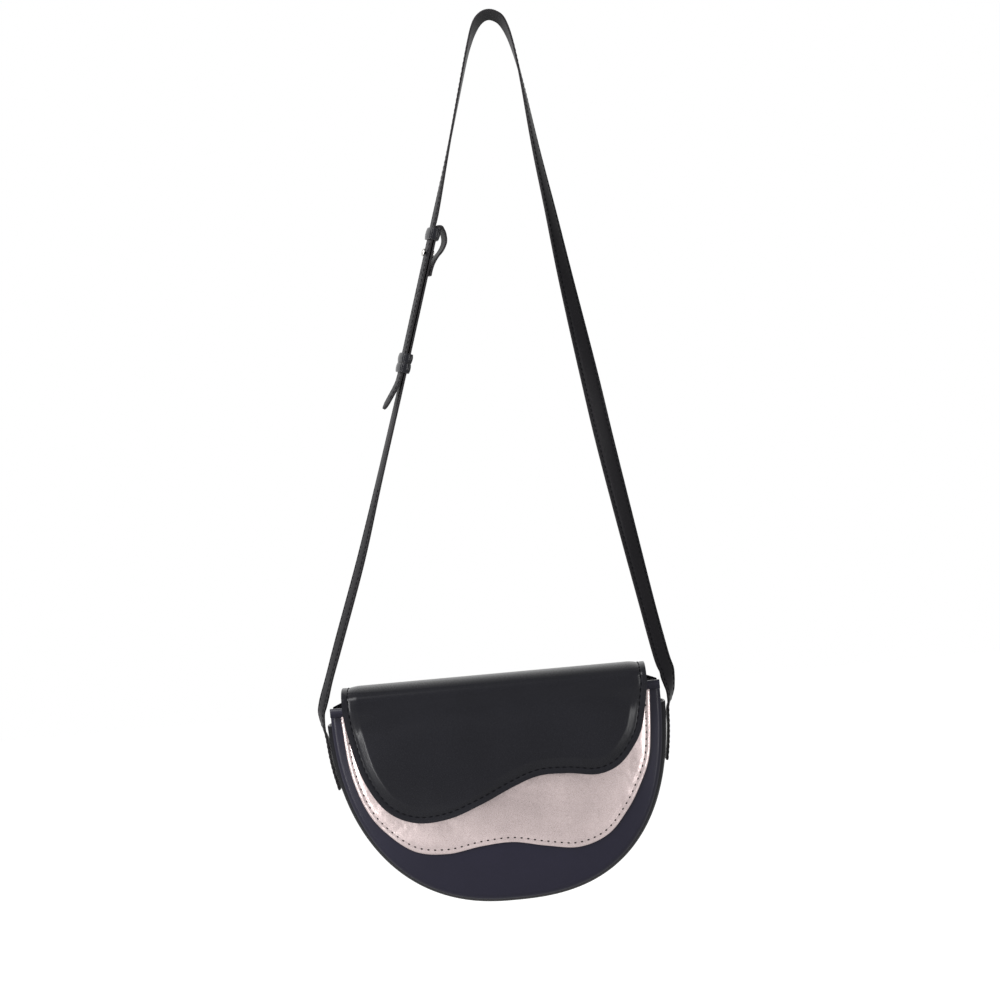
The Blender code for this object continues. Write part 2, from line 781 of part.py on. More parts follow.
def adjuster():
    """Foot, unit vector up the doubled strap, its outward side and its length."""
    rows = leg_rows(-1, LEFT_LEG_SHARES)
    foot = Vector(rows[LEFT_ADJUSTER_FOOT][:3])
    head = Vector(rows[LEFT_ADJUSTER_FOOT + 1][:3])
    along = (head - foot).normalized()
    roll = math.radians(rows[LEFT_ADJUSTER_FOOT][3])
    outward = Vector((-along.z, 0, along.x)) * math.cos(roll) + Vector((0, -1, 0)) * math.sin(roll)
    return foot, along, outward, (head - foot).length


def layer_pitch():
    """From the middle of one strap layer to the next."""
    return STRAP_THICKNESS + CLEARANCE


def adjuster_row(distance, lift):
    """A row on the doubled strap, that far up from its foot and that far outwards."""
    foot, along, outward, _ = adjuster()
    place = foot + along * distance + outward * lift
    return (*place, LEFT_LEG_SHARES[LEFT_ADJUSTER_FOOT][2])


def stud_distance():
    """How far the stud is up from the foot of the doubled strap."""
    return adjuster()[3] * ADJUSTER_STUD_SHARE


def keeper_distance(number):
    """How far the middle of a keeper is up from the foot, 0 for the lower one."""
    return adjuster()[3] * LOWER_KEEPER_SHARE + number * (KEEPER_HEIGHT + CLEARANCE)


def long_strap_rows():
    """Rows of the long strap, from the right side over the top to the free tail."""
    out = layer_pitch() / 2
    right = sewn_rows(1) + leg_rows(1, RIGHT_LEG_SHARES)
    top = [(0.0, 0.0, STRAP_THICKNESS / 2, TOP_ROLL)]
    left = leg_rows(-1, LEFT_LEG_SHARES)[LEFT_ADJUSTER_FOOT + 2:]
    stud = stud_distance()
    low_keeper = keeper_distance(0) - KEEPER_HEIGHT
    doubled = [adjuster_row(adjuster()[3], out), adjuster_row(stud + fold_height(), out),
               adjuster_row(stud, out), adjuster_row((stud + low_keeper) / 2, out),
               adjuster_row(low_keeper + 2 * KEEPER_HEIGHT, out), adjuster_row(low_keeper, out)]
    tail = [adjuster_row(low_keeper - TAIL_BEYOND * TAIL_KNEE_SHARE,
                         out + TAIL_SWING * TAIL_KNEE_SWING_SHARE),
            adjuster_row(low_keeper - TAIL_BEYOND, out + TAIL_SWING)]
    return right + top + left[::-1] + doubled + tail


def make_long_strap():
    """The long strap with its holes."""
    strap = add_piece("long_strap", loft(strap_rings(long_strap_rows()[::-1])), "black_leather")
    outward = adjuster()[2]
    for number in range(HOLES_BELOW_STUD + 1):
        place = Vector(adjuster_row(stud_distance() - number * HOLE_PITCH, layer_pitch() / 2)[:3])
        frame = Matrix.Translation(place) @ outward.to_track_quat("Z", "Y").to_matrix().to_4x4()
        profile = ((HOLE_RADIUS, -STRAP_THICKNESS), (HOLE_RADIUS, STRAP_THICKNESS))
        cutter = add_piece(f"strap_hole_cutter_{number}", turned(profile, frame, HOLE_SIDES),
                           "black_leather")
        hide_cutter(cutter)
        cut = strap.modifiers.new(f"hole_{number}", "BOOLEAN")
        cut.operation = "DIFFERENCE"
        cut.solver = "EXACT"
        cut.object = cutter
    return strap


def short_strap_rows():
    """Rows of the short strap, from its sewn end up to the stud."""
    inward = -layer_pitch() / 2
    stud = stud_distance()
    lower = sewn_rows(-1) + leg_rows(-1, LEFT_LEG_SHARES)[:LEFT_ADJUSTER_FOOT]
    entry = keeper_distance(0) - 2 * KEEPER_HEIGHT
    rising = [adjuster_row(entry, inward), adjuster_row((entry + stud) / 2, inward),
              adjuster_row(stud, inward)]
    return lower + rising


def sleeve_depth():
    """The room inside a sleeve, through both layers of the strap."""
    return 2 * layer_pitch() + CLEARANCE


def fold_height():
    """How far over the stud the short strap starts to fold, just above the loop keeper."""
    return LOOP_ABOVE_STUD + LOOP_HEIGHT / 2 + CLEARANCE


def fold_path():
    """The fold and the bow, as distance up the doubled strap and lift off its middle."""
    outside = sleeve_depth() / 2 + SLEEVE_LEATHER + CLEARANCE + STRAP_THICKNESS / 2
    radius = (outside - layer_pitch() / 2) / 2
    start = stud_distance() + fold_height()
    path = []
    for k in range(FOLD_STEPS + 1):
        angle = math.radians(FOLD_SWEEP_DEGREES) * k / FOLD_STEPS
        path.append((start + radius * math.sin(angle),
                     -layer_pitch() / 2 - radius * (1 - math.cos(angle))))
    second = -layer_pitch() * 3 / 2
    bow = [(stud_distance() + above * fold_height(), second - reach * BOW_REACH)
           for above, reach in BOW_SHARES]
    falling = spline([path[-1]] + bow, BOW_STEPS)
    return path + falling[1:]


def folded_rings():
    """Sections of the short strap round its fold and down its bow."""
    foot, along, outward, _ = adjuster()
    side = along.cross(outward) * (STRAP_WIDTH / 2)
    path = fold_path()
    rings = []
    for k, (distance, lift) in enumerate(path):
        before, after = path[max(k - 1, 0)], path[min(k + 1, len(path) - 1)]
        run = Vector((after[0] - before[0], after[1] - before[1])).normalized()
        normal = (outward * run.x - along * run.y) * (STRAP_THICKNESS / 2)
        place = foot + along * distance + outward * lift
        rings.append([place + side + normal, place + side - normal,
                      place - side - normal, place - side + normal])
    return rings


def make_short_strap():
    """The short strap with its folded end."""
    rings = strap_rings(short_strap_rows()) + folded_rings()
    return add_piece("short_strap", loft(rings), "black_leather")


def closed_sleeve(distance, height):
    """The closed body of a leather sleeve round the doubled strap."""
    foot, along, outward, _ = adjuster()
    side = along.cross(outward)
    width = STRAP_WIDTH + 2 * CLEARANCE
    depth = sleeve_depth()
    middle = foot + along * distance
    half = along * (height / 2)
    rings = []
    for quarter, (a, b) in enumerate(((1, 1), (-1, 1), (-1, -1), (1, -1))):
        inner = side * (a * width / 2) + outward * (b * depth / 2)
        for k in range(SLEEVE_CORNER_STEPS + 1):
            angle = math.pi / 2 * (quarter + k / SLEEVE_CORNER_STEPS)
            outer = inner + (side * math.cos(angle) + outward * math.sin(angle)) * SLEEVE_LEATHER
            rings.append((middle + inner - half, middle + outer - half,
                          middle + outer + half, middle + inner + half))
    bm = loft(rings, closed=True)
    bmesh.ops.remove_doubles(bm, verts=bm.verts, dist=MERGE_DISTANCE)
    return bm


def make_sleeves(keeper_pivots):
    """The loop keeper in the fold and the two sliding keepers."""
    loop = stud_distance() + LOOP_ABOVE_STUD
    add_piece("loop_keeper", closed_sleeve(loop, LOOP_HEIGHT), "black_leather")
    for number, name in enumerate(("lower_keeper", "upper_keeper")):
        body = closed_sleeve(keeper_distance(number), KEEPER_HEIGHT)
        add_piece(name, body, "black_leather", keeper_pivots[number])


def stud_frame():
    """The stud's axis: +Z outwards, with its zero on the doubled strap's middle."""
    outward = adjuster()[2]
    place = Vector(adjuster_row(stud_distance(), 0.0)[:3])
    return Matrix.Translation(place) @ outward.to_track_quat("Z", "Y").to_matrix().to_4x4()


def make_strap_stud():
    """The stud through the strap's hole, and its screw on the inner side."""
    face = layer_pitch() / 2 + STRAP_THICKNESS / 2
    inner_face = -face
    base = CLEARANCE / 2
    neck_top = face + STUD_NECK_STANDOFF
    profile = [(STUD_NECK_RADIUS, base), (STUD_NECK_RADIUS, neck_top)]
    for k in range(BALL_STEPS):
        share = STUD_BALL_START_SHARE + (1 - STUD_BALL_START_SHARE) * k / BALL_STEPS
        angle = math.pi * share
        profile.append((STUD_HEAD_RADIUS * math.sin(angle),
                        neck_top + STUD_HEAD_HEIGHT * (1 - math.cos(angle)) / 2))
    add_piece("strap_stud", turned(profile, stud_frame(), STUD_SIDES), "bright_metal")
    low = inner_face - CLEARANCE - SCREW_HEIGHT
    profile = ((SCREW_RADIUS, low), (SCREW_RADIUS, inner_face - CLEARANCE))
    add_piece("stud_screw", turned(profile, stud_frame(), STUD_SIDES), "bright_metal")


def build():
    """Build the whole bag."""
    clear_scene()
    bag = add_pivot("bag_pivot", bag_point(0.0, 0.0, -SEWN_TOP))
    flap_top = add_pivot("flap_top_pivot", bag_point(0.0, back_hinge_y(), bend_foot()), bag)
    front_fold = bag_point(0.0, -FLAP_FRONT_REACH, bend_foot())
    flap_front = add_pivot("flap_front_pivot", front_fold, flap_top)
    keepers = [add_pivot(f"keeper_pivot_{k}", Vector(adjuster_row(keeper_distance(k), 0.0)[:3]))
               for k in range(2)]
    make_front_panel(bag)
    make_wave_panel(bag)
    make_back_panel(bag)
    make_gusset(bag)
    make_linings(bag)
    make_front_binding(bag)
    make_flap_yoke(bag)
    make_snap_socket(bag)
    make_flap_bend(flap_top)
    make_flap_front(flap_front)
    make_flap_pad(flap_front)
    make_snap_stud(flap_front)
    make_long_strap()
    make_short_strap()
    make_sleeves(keepers)
    make_strap_stud()


build()
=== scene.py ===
"""The looks of a half-moon crossbody bag with a wavy flap and a long strap.

Lengths are in metres.  The origin is the hang point under the top of the strap, +X is to
the viewer's right, +Y goes back through the bag and +Z is up.
"""

import logging
import math
from dataclasses import dataclass, field
from enum import Enum
from typing import Callable, Sequence

import bmesh
import bpy
from mathutils import Matrix, Vector
from mathutils.kdtree import KDTree


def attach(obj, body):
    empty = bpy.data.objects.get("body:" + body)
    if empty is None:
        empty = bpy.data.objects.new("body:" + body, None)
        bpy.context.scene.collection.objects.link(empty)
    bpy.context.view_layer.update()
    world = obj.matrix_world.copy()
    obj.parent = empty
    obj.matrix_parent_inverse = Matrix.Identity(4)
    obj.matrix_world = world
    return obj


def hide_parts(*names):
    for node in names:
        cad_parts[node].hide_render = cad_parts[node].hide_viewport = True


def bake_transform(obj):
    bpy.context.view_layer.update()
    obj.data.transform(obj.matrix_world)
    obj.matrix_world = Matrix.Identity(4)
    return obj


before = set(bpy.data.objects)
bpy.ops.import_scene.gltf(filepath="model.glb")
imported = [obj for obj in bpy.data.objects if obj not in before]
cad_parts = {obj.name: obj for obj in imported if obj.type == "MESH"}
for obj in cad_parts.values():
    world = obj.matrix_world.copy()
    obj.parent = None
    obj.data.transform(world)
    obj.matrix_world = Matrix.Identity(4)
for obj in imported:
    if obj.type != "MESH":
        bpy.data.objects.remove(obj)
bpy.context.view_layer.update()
LOG = logging.getLogger("bag")

Grid = tuple[int, int]
Shares = Sequence[tuple[float, float]]
Place = Callable[[float, float, float], Vector]


class Body(Enum):
    """The rigid bodies that pieces ride on."""

    STRAP = "strap_body"
    BAG = "bag_body"
    FLAP_OVER = "flap_over"
    FLAP_FACE = "flap_face"
    LOWER_KEEPER = "lower_keeper_slider"
    UPPER_KEEPER = "upper_keeper_slider"


class Slot(Enum):
    """The record's material slots."""

    BLACK = "black_leather"
    NAVY = "navy_leather"
    METALLIC = "metallic_leather"
    LINING = "lining_cloth"
    METAL = "bright_metal"


# Curves and forms shared by the pieces


def smooth_step(value: float) -> float:
    """Rise smoothly from 0 to 1."""
    value = min(max(value, 0.0), 1.0)
    return value * value * (3 - 2 * value)


def spline_point(rows: Sequence[Sequence[float]], position: float) -> list[float]:
    """Find a point on a smooth curve through rows of numbers.

    Args:
        rows: The rows that the curve passes through.
        position: Row number, with its fraction.

    Returns:
        The numbers at that position.
    """
    last = len(rows) - 1
    first = min(int(position), last - 1)
    t = position - first
    before, start, end, after = (rows[min(max(first + k, 0), last)] for k in (-1, 0, 1, 2))
    point = []
    for a, b, c, d in zip(before, start, end, after):
        bend = (2 * a - 5 * b + 4 * c - d) * t * t + (3 * b - a - 3 * c + d) * t * t * t
        point.append(0.5 * (2 * b + (c - a) * t + bend))
    return point


def spline(rows: Sequence[Sequence[float]], steps: int) -> list[list[float]]:
    """Give points on a smooth curve through rows, with that many steps between rows."""
    count = (len(rows) - 1) * steps
    return [spline_point(rows, index / steps) for index in range(count + 1)]


@dataclass
class Polyline:
    """A flat line of points that is read by the share of its length."""

    points: list[tuple[float, float]]
    lengths: list[float] = field(default_factory=list)

    def __post_init__(self) -> None:
        """Measure the way along the line."""
        self.tree = KDTree(len(self.points))
        for k, (x, y) in enumerate(self.points):
            self.tree.insert((x, y, 0.0), k)
        self.tree.balance()
        self.lengths = [0.0]
        for start, end in zip(self.points, self.points[1:]):
            self.lengths.append(self.lengths[-1] + math.dist(start, end))

    def at(self, share: float) -> tuple[float, float]:
        """Find the point at a share of the length.

        Args:
            share: From 0 at the start to 1 at the end.

        Returns:
            The two coordinates.
        """
        target = min(max(share, 0.0), 1.0) * self.lengths[-1]
        low, high = 0, len(self.lengths) - 1
        while high - low > 1:
            middle = (low + high) // 2
            if self.lengths[middle] <= target:
                low = middle
            else:
                high = middle
        span = self.lengths[high] - self.lengths[low]
        t = (target - self.lengths[low]) / span if span else 0.0
        (ax, ay), (bx, by) = self.points[low], self.points[high]
        return ax + (bx - ax) * t, ay + (by - ay) * t

    def distance(self, x: float, y: float) -> float:
        """Find how far a point lies from the line.

        Args:
            x: First coordinate.
            y: Second coordinate.

        Returns:
            The shortest distance.
        """
        best = math.inf
        for _, index, _ in self.tree.find_n((x, y, 0.0), 2):
            for k in (index - 1, index):
                if not 0 <= k < len(self.points) - 1:
                    continue
                (ax, ay), (bx, by) = self.points[k], self.points[k + 1]
                dx, dy = bx - ax, by - ay
                square = dx * dx + dy * dy
                t = ((x - ax) * dx + (y - ay) * dy) / square if square else 0.0
                t = min(max(t, 0.0), 1.0)
                best = min(best, math.hypot(x - ax - dx * t, y - ay - dy * t))
        return best

    def inset(self, distance: float) -> "Polyline":
        """Move the line to its left side.

        Args:
            distance: How far it moves.

        Returns:
            The moved line.
        """
        moved = []
        for k, (x, y) in enumerate(self.points):
            (ax, ay) = self.points[max(k - 1, 0)]
            (bx, by) = self.points[min(k + 1, len(self.points) - 1)]
            length = math.hypot(bx - ax, by - ay) or 1.0
            moved.append((x - (by - ay) / length * distance, y + (bx - ax) / length * distance))
        return Polyline(moved)


@dataclass(frozen=True)
class BagForm:
    """Sizes of the bag that its pieces share, as the model has them."""

    hang_offset: float = 0.0375
    hang_drop: float = 0.464
    half_width: float = 0.1125
    height: float = 0.137
    mouth_half_depth: float = 0.016
    front_spread: float = 0.00824
    back_spread: float = 0.01442
    front_crown: float = 0.008
    gusset_bulge: float = 0.0035
    gusset_power: float = 4.0
    left_outline_power: float = 2.3
    right_outline_power: float = 2.6
    crown_power: float = 4.0
    rim_crown_share: float = 0.6
    crown_rise: float = 0.060
    body_leather: float = 0.0018
    wave_leather: float = 0.0014
    clearance: float = 0.0003
    skin_ease: float = 0.0002
    seam_width: float = 0.0032
    seam_depth: float = 0.0017
    seam_power: float = 2.2
    seam_from: float = 0.2

    def point(self, across: float, back: float, up: float) -> Vector:
        """Turn a place from the middle of the bag's rim into the shared frame."""
        return Vector((across - self.hang_offset, back, up - self.hang_drop))

    def outline_power(self, across: float) -> float:
        """Tell how square the half-moon is on that side of the bag."""
        return self.right_outline_power if across > 0 else self.left_outline_power

    def outline(self, angle: float, inset: float = 0.0) -> tuple[float, float]:
        """Find a point on the half-moon outline.

        Args:
            angle: 0 at the right corner and pi at the left one.
            inset: How far inside the outline.

        Returns:
            Across and up.
        """
        power = 2 / self.outline_power(math.cos(angle))
        across = math.copysign(abs(math.cos(angle)) ** power, math.cos(angle))
        down = abs(math.sin(angle)) ** power
        return (self.half_width - inset) * across, -(self.height - inset) * down

    def outline_line(self, corner: float, inset: float = 0.0, count: int = 240) -> Polyline:
        """Trace the half-moon from its left corner to its right one.

        Args:
            corner: Angle that is left out at each corner, in radians.
            inset: How far inside the outline.
            count: Number of steps.

        Returns:
            The outline.
        """
        span = math.pi - 2 * corner
        return Polyline([self.outline(math.pi - corner - span * k / count, inset)
                         for k in range(count + 1)])

    def outline_normal(self, across: float, up: float) -> tuple[float, float]:
        """Find the direction out of the half-moon near a point of its outline.

        Args:
            across: Place from the middle.
            up: Height from the rim.

        Returns:
            The direction across and up.
        """
        share = across / self.half_width
        power = self.outline_power(across) - 1
        side = math.copysign(abs(share) ** power, share) / self.half_width
        down = abs(up / self.height) ** power / self.height
        length = math.hypot(side, down) or 1.0
        return side / length, -down / length

    def front_seam(self, up: float) -> float:
        """Find how far forward the front seam lies."""
        return self.mouth_half_depth + self.front_spread * max(-up, 0.0) / self.height

    def back_seam(self, up: float) -> float:
        """Find how far back the flat back lies."""
        return self.mouth_half_depth - self.back_spread * up / self.height

    def gusset_rise(self, share: float) -> float:
        """Find how far the gusset bulges, from -1 at one seam to 1 at the other."""
        return self.gusset_bulge * (1 - abs(share) ** self.gusset_power)

    def radius(self, across: float, up: float) -> float:
        """Find the share of the way from the rim's middle to the outline.

        Args:
            across: Place from the middle.
            up: Height from the rim.

        Returns:
            0 at the rim's middle and 1 on the outline.
        """
        power = self.outline_power(across)
        return (abs(across / self.half_width) ** power
                + (max(-up, 0.0) / self.height) ** power) ** (1 / power)

    def seam_roll(self, across: float, up: float) -> float:
        """Find how far a panel turns in at its seam with the gusset.

        Args:
            across: Place from the middle.
            up: Height from the rim.

        Returns:
            The way back from the panel's face.
        """
        radius = self.radius(across, up)
        margin = (1 - radius) * math.hypot(across, min(up, 0.0)) / max(radius, self.seam_from)
        near = max(1 - margin / self.seam_width, 0.0)
        return self.seam_depth * near ** self.seam_power

    def front_face(self, across: float, up: float) -> float:
        """Find the y of the front panel's outer face.

        Args:
            across: Place from the middle.
            up: Height from the rim.

        Returns:
            The y.
        """
        rise = smooth_step(max(-up, 0.0) / self.crown_rise)
        rise = self.rim_crown_share + (1 - self.rim_crown_share) * rise
        crown = max(1 - self.radius(across, up) ** self.crown_power, 0.0)
        return -(self.front_seam(up) + self.front_crown * rise * crown)

    def wave_face(self, across: float, up: float) -> float:
        """Find the y of the wavy panel's outer face."""
        return self.front_face(across, up) - self.clearance - self.skin_ease - self.wave_leather


# Mesh tools


def block(columns: int, rows: int, place: Place, across: Callable[[float], float] | None = None,
          along: Callable[[float], float] | None = None) -> bmesh.types.BMesh:
    """Make a closed sheet of leather or cloth from a function of its place.

    Args:
        columns: Faces from left to right.
        rows: Faces from top to bottom.
        place: Gives a point for two shares of the sheet and 0 outside or 1 inside.
        across: Spreads the columns.
        along: Spreads the rows.

    Returns:
        The closed mesh.
    """
    bm = bmesh.new()
    bmesh.ops.create_grid(bm, x_segments=columns, y_segments=rows, size=0.5)
    bmesh.ops.translate(bm, verts=bm.verts, vec=(0.5, 0.5, 0.0))
    made = bmesh.ops.extrude_face_region(bm, geom=bm.faces[:], use_keep_orig=True)
    inner = [item for item in made["geom"] if isinstance(item, bmesh.types.BMVert)]
    bmesh.ops.translate(bm, verts=inner, vec=(0.0, 0.0, 1.0))
    for face in bm.faces:
        heights = [vert.co.z for vert in face.verts]
        face.material_index = int(min(heights) < max(heights))
    for vert in bm.verts:
        u = across(vert.co.x) if across else vert.co.x
        v = along(vert.co.y) if along else vert.co.y
        vert.co = place(u, v, vert.co.z)
    bmesh.ops.recalc_face_normals(bm, faces=bm.faces)
    return bm


def soft_ramp(value: float, ends: float = 0.2) -> float:
    """Rise evenly from 0 to 1, with only the two ends rounded.

    Args:
        value: How far along the rise.
        ends: Share of the rise that each rounded end takes.

    Returns:
        The height.
    """
    value = min(max(value, 0.0), 1.0)
    if value > 0.5:
        return 1 - soft_ramp(1 - value, ends)
    steady = 1 / (1 - ends)
    if value < ends:
        return steady * value ** 2 / (2 * ends)
    return steady * (value - ends / 2)


def edge_dense(power: float) -> Callable[[float], float]:
    """Spread rows so that they crowd together near the far edge."""
    return lambda value: 1 - (1 - value) ** power


def stand(name: str, data: bpy.types.ID | bmesh.types.BMesh) -> bpy.types.Object:
    """Put an object into the scene.

    Args:
        name: Its name.
        data: Its lamp, camera or mesh, where a new mesh is used up.

    Returns:
        The object.
    """
    if isinstance(data, bmesh.types.BMesh):
        mesh = bpy.data.meshes.new(name)
        data.to_mesh(mesh)
        data.free()
        data = mesh
    thing = bpy.data.objects.new(name, data)
    bpy.context.scene.collection.objects.link(thing)
    return thing


def round_edges(piece: bpy.types.Object, width: float) -> None:
    """Round a piece's cut edges.

    Args:
        piece: The piece.
        width: How far the rounding reaches.
    """
    bevel = piece.modifiers.new("edge", "BEVEL")
    bevel.width, bevel.segments, bevel.limit_method = width, 3, "ANGLE"
    bevel.angle_limit = math.radians(50)


@dataclass
class Piece:
    """A finished piece on its way into the scene."""

    name: str
    mesh: bmesh.types.BMesh
    material: bpy.types.Material
    slot: Slot
    body: Body | None = None
    nodes: tuple[str, ...] = ()
    edge: float = 0.0
    edge_material: bpy.types.Material | None = None

    def build(self) -> bpy.types.Object:
        """Make the object, and say which body it rides on and which nodes it stands for.

        Returns:
            The new object, at the origin, unturned and unscaled.
        """
        piece = stand(self.name, self.mesh)
        mesh = piece.data
        mesh.shade_smooth()
        mesh.materials.append(self.material)
        if self.edge_material is not None:
            mesh.materials.append(self.edge_material)
        else:
            mesh.polygons.foreach_set("material_index", [0] * len(mesh.polygons))
        if self.edge:
            round_edges(piece, self.edge)
        if self.body:
            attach(piece, self.body.value)
        if self.nodes:
            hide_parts(*self.nodes)
        LOG.info("%s: %d faces", self.name, len(mesh.polygons))
        return piece


# Finishes


@dataclass
class NodeSketch:
    """A material's nodes, added one by one."""

    name: str

    def __post_init__(self) -> None:
        """Start the material with its Principled shader."""
        self.material = bpy.data.materials.new(self.name)
        self.material.use_nodes = True
        self.tree = self.material.node_tree
        self.shader = self.tree.nodes["Principled BSDF"]
        self.place = self.add("ShaderNodeTexCoord").outputs["Object"]

    def add(self, kind: str, **settings: object) -> bpy.types.Node:
        """Add a node, with its properties and, by name, its inputs.

        Args:
            kind: The node's type.
            settings: Properties, or inputs given as a value or as a socket to link.

        Returns:
            The node.
        """
        node = self.tree.nodes.new(kind)
        for key, value in settings.items():
            if hasattr(node, key):
                setattr(node, key, value)
        for key, value in settings.items():
            if hasattr(node, key):
                continue
            spot = node.inputs[int(key[1:])] if key[1:].isdigit() else node.inputs[
                key.replace("_", " ").title()]
            if isinstance(value, bpy.types.NodeSocket):
                self.tree.links.new(value, spot)
            else:
                spot.default_value = value
        return node

    def noise(self, size: float, detail: float = 3.0) -> bpy.types.NodeSocket:
        """Add noise whose features have about the given size."""
        return self.add("ShaderNodeTexNoise", vector=self.place, scale=1 / size,
                        detail=detail).outputs["Fac"]

    def spread(self, value: bpy.types.NodeSocket, low: float, high: float,
               first: float = 0.3, last: float = 0.7) -> bpy.types.NodeSocket:
        """Map a value's middle range to another range."""
        node = self.add("ShaderNodeMapRange", i0=value, i1=first, i2=last, i3=low, i4=high)
        return node.outputs[0]

    def vary(self, share: bpy.types.NodeSocket, colour: Sequence[float], dark: float,
             light: float) -> bpy.types.NodeSocket:
        """Vary a colour's lightness by a share.

        Args:
            share: The share to follow.
            colour: The colour.
            dark: Its factor where the share is 0.
            light: Its factor where the share is 1.

        Returns:
            The varied colour.
        """
        node = self.add("ShaderNodeMix", data_type="RGBA")
        self.tree.links.new(share, node.inputs[0])
        for spot, factor in ((6, dark), (7, light)):
            node.inputs[spot].default_value = (*(channel * factor for channel in colour), 1.0)
        return node.outputs[2]

    def bump(self, height: bpy.types.NodeSocket, depth: float, strength: float = 1.0,
             under: bpy.types.NodeSocket | None = None) -> bpy.types.NodeSocket:
        """Add a bump.

        Args:
            height: The height to follow.
            depth: The bump's depth.
            strength: How strongly it shows.
            under: Another bump that it lies on.

        Returns:
            The bent normal.
        """
        node = self.add("ShaderNodeBump", i0=strength, i1=depth)
        self.tree.links.new(height, node.inputs["Height"])
        if under is not None:
            self.tree.links.new(under, node.inputs["Normal"])
        return node.outputs[0]

    def wire(self, **inputs: object) -> None:
        """Set or link the shader's own sockets.

        Args:
            inputs: Values or sockets, by the shader's names with underscores for spaces.
        """
        for key, value in inputs.items():
            spot = self.shader.inputs[key.replace("_", " ")]
            if isinstance(value, bpy.types.NodeSocket):
                self.tree.links.new(value, spot)
            else:
                spot.default_value = value


@dataclass(frozen=True)
class Finish:
    """What every finish has: a name, a colour and a way to make its material."""

    name: str
    colour: tuple[float, float, float]

    def build(self) -> bpy.types.Material:
        """Make the material.

        Returns:
            The material.
        """
        sketch = NodeSketch(self.name)
        self.dress(sketch)
        return sketch.material

    def dress(self, sketch: NodeSketch) -> None:
        """Add the finish's own nodes."""
        raise NotImplementedError


@dataclass(frozen=True)
class LeatherFinish(Finish):
    """Smooth coated leather with a fine pressed grain."""

    roughness: float = 0.34
    grain: float = 0.0009
    grain_depth: float = 0.00003
    mottle: float = 0.18
    metallic: float = 0.0
    specular: float = 0.12
    sparkle: float = 0.0
    fleck: float = 0.25
    drape: float = 0.0003
    cloud: float = 0.045
    polish: float = 0.05

    def dress(self, sketch: NodeSketch) -> None:
        """Press the grain, cloud the colour and vary the polish.

        Args:
            sketch: The material's nodes.
        """
        cells = sketch.add("ShaderNodeTexVoronoi", vector=sketch.place, scale=1 / self.grain,
                           feature="SMOOTH_F1")
        pores = sketch.noise(self.grain * 0.45, 4.0)
        clouds = sketch.noise(self.cloud, 4.0)
        flecks = sketch.noise(self.grain * 1.6, 5.0)
        shade = sketch.add("ShaderNodeMix", i0=self.fleck, i2=sketch.spread(clouds, 0.0, 1.0),
                           i3=sketch.spread(flecks, 0.0, 1.0))
        grain = sketch.bump(cells.outputs["Distance"], self.grain_depth, 0.8)
        grain = sketch.bump(pores, self.grain_depth * 0.6, 0.7, grain)
        swing = self.polish + self.sparkle
        sketch.wire(
            Base_Color=sketch.vary(shade.outputs[0], self.colour, 1 - self.mottle,
                                   1 + self.mottle),
            Roughness=sketch.spread(pores, self.roughness - swing, self.roughness + swing),
            Normal=sketch.bump(clouds, self.drape, 1.0, grain),
            Metallic=self.metallic, Specular_IOR_Level=self.specular)


@dataclass(frozen=True)
class ThreadFinish(Finish):
    """Waxed sewing thread with its twist."""

    roughness: float = 0.55
    sheen: float = 0.2
    specular: float = 0.3
    twist: float = 0.00025
    twist_depth: float = 0.00005

    def dress(self, sketch: NodeSketch) -> None:
        """Twist the yarn.

        Args:
            sketch: The material's nodes.
        """
        twist = sketch.noise(self.twist, 2.0)
        sketch.wire(
            Base_Color=sketch.vary(sketch.spread(twist, 0.0, 1.0), self.colour, 0.75, 1.25),
            Normal=sketch.bump(twist, self.twist_depth, 0.6), Roughness=self.roughness,
            Sheen_Weight=self.sheen, Specular_IOR_Level=self.specular)


@dataclass(frozen=True)
class EdgePaint(Finish):
    """Paint that is built up on cut leather edges."""

    roughness: float = 0.32
    coat: float = 0.1
    specular: float = 0.2
    ripple: float = 0.004
    ripple_depth: float = 0.00008
    polish: float = 0.06

    def dress(self, sketch: NodeSketch) -> None:
        """Ripple the paint.

        Args:
            sketch: The material's nodes.
        """
        ripple = sketch.noise(self.ripple, 3.0)
        sketch.wire(
            Base_Color=sketch.vary(sketch.spread(ripple, 0.0, 1.0), self.colour, 0.85, 1.15),
            Roughness=sketch.spread(ripple, self.roughness - self.polish,
                                    self.roughness + self.polish),
            Normal=sketch.bump(ripple, self.ripple_depth, 0.4), Coat_Weight=self.coat,
            Coat_Roughness=0.2, Specular_IOR_Level=self.specular)


@dataclass(frozen=True)
class ClothFinish(Finish):
    """Plain woven lining."""

    yarn: float = 0.0005
    yarn_depth: float = 0.00012
    blotch: float = 0.03
    sheen: float = 0.35

    def dress(self, sketch: NodeSketch) -> None:
        """Cross two waves to a weave, and blotch it.

        Args:
            sketch: The material's nodes.
        """
        waves = [sketch.add("ShaderNodeTexWave", vector=sketch.place, scale=0.5 / self.yarn,
                            bands_direction=direction, distortion=0.4).outputs["Fac"]
                 for direction in ("X", "Z")]
        weave = sketch.add("ShaderNodeMath", operation="MULTIPLY", i0=waves[0], i1=waves[1])
        clouds = sketch.spread(sketch.noise(self.blotch), 0.6, 1.0)
        blotch = sketch.add("ShaderNodeMath", operation="MULTIPLY", i0=weave.outputs[0],
                            i1=clouds)
        sketch.wire(Base_Color=sketch.vary(blotch.outputs[0], self.colour, 0.7, 1.3),
                    Normal=sketch.bump(weave.outputs[0], self.yarn_depth, 0.7), Roughness=0.85,
                    Sheen_Weight=self.sheen)


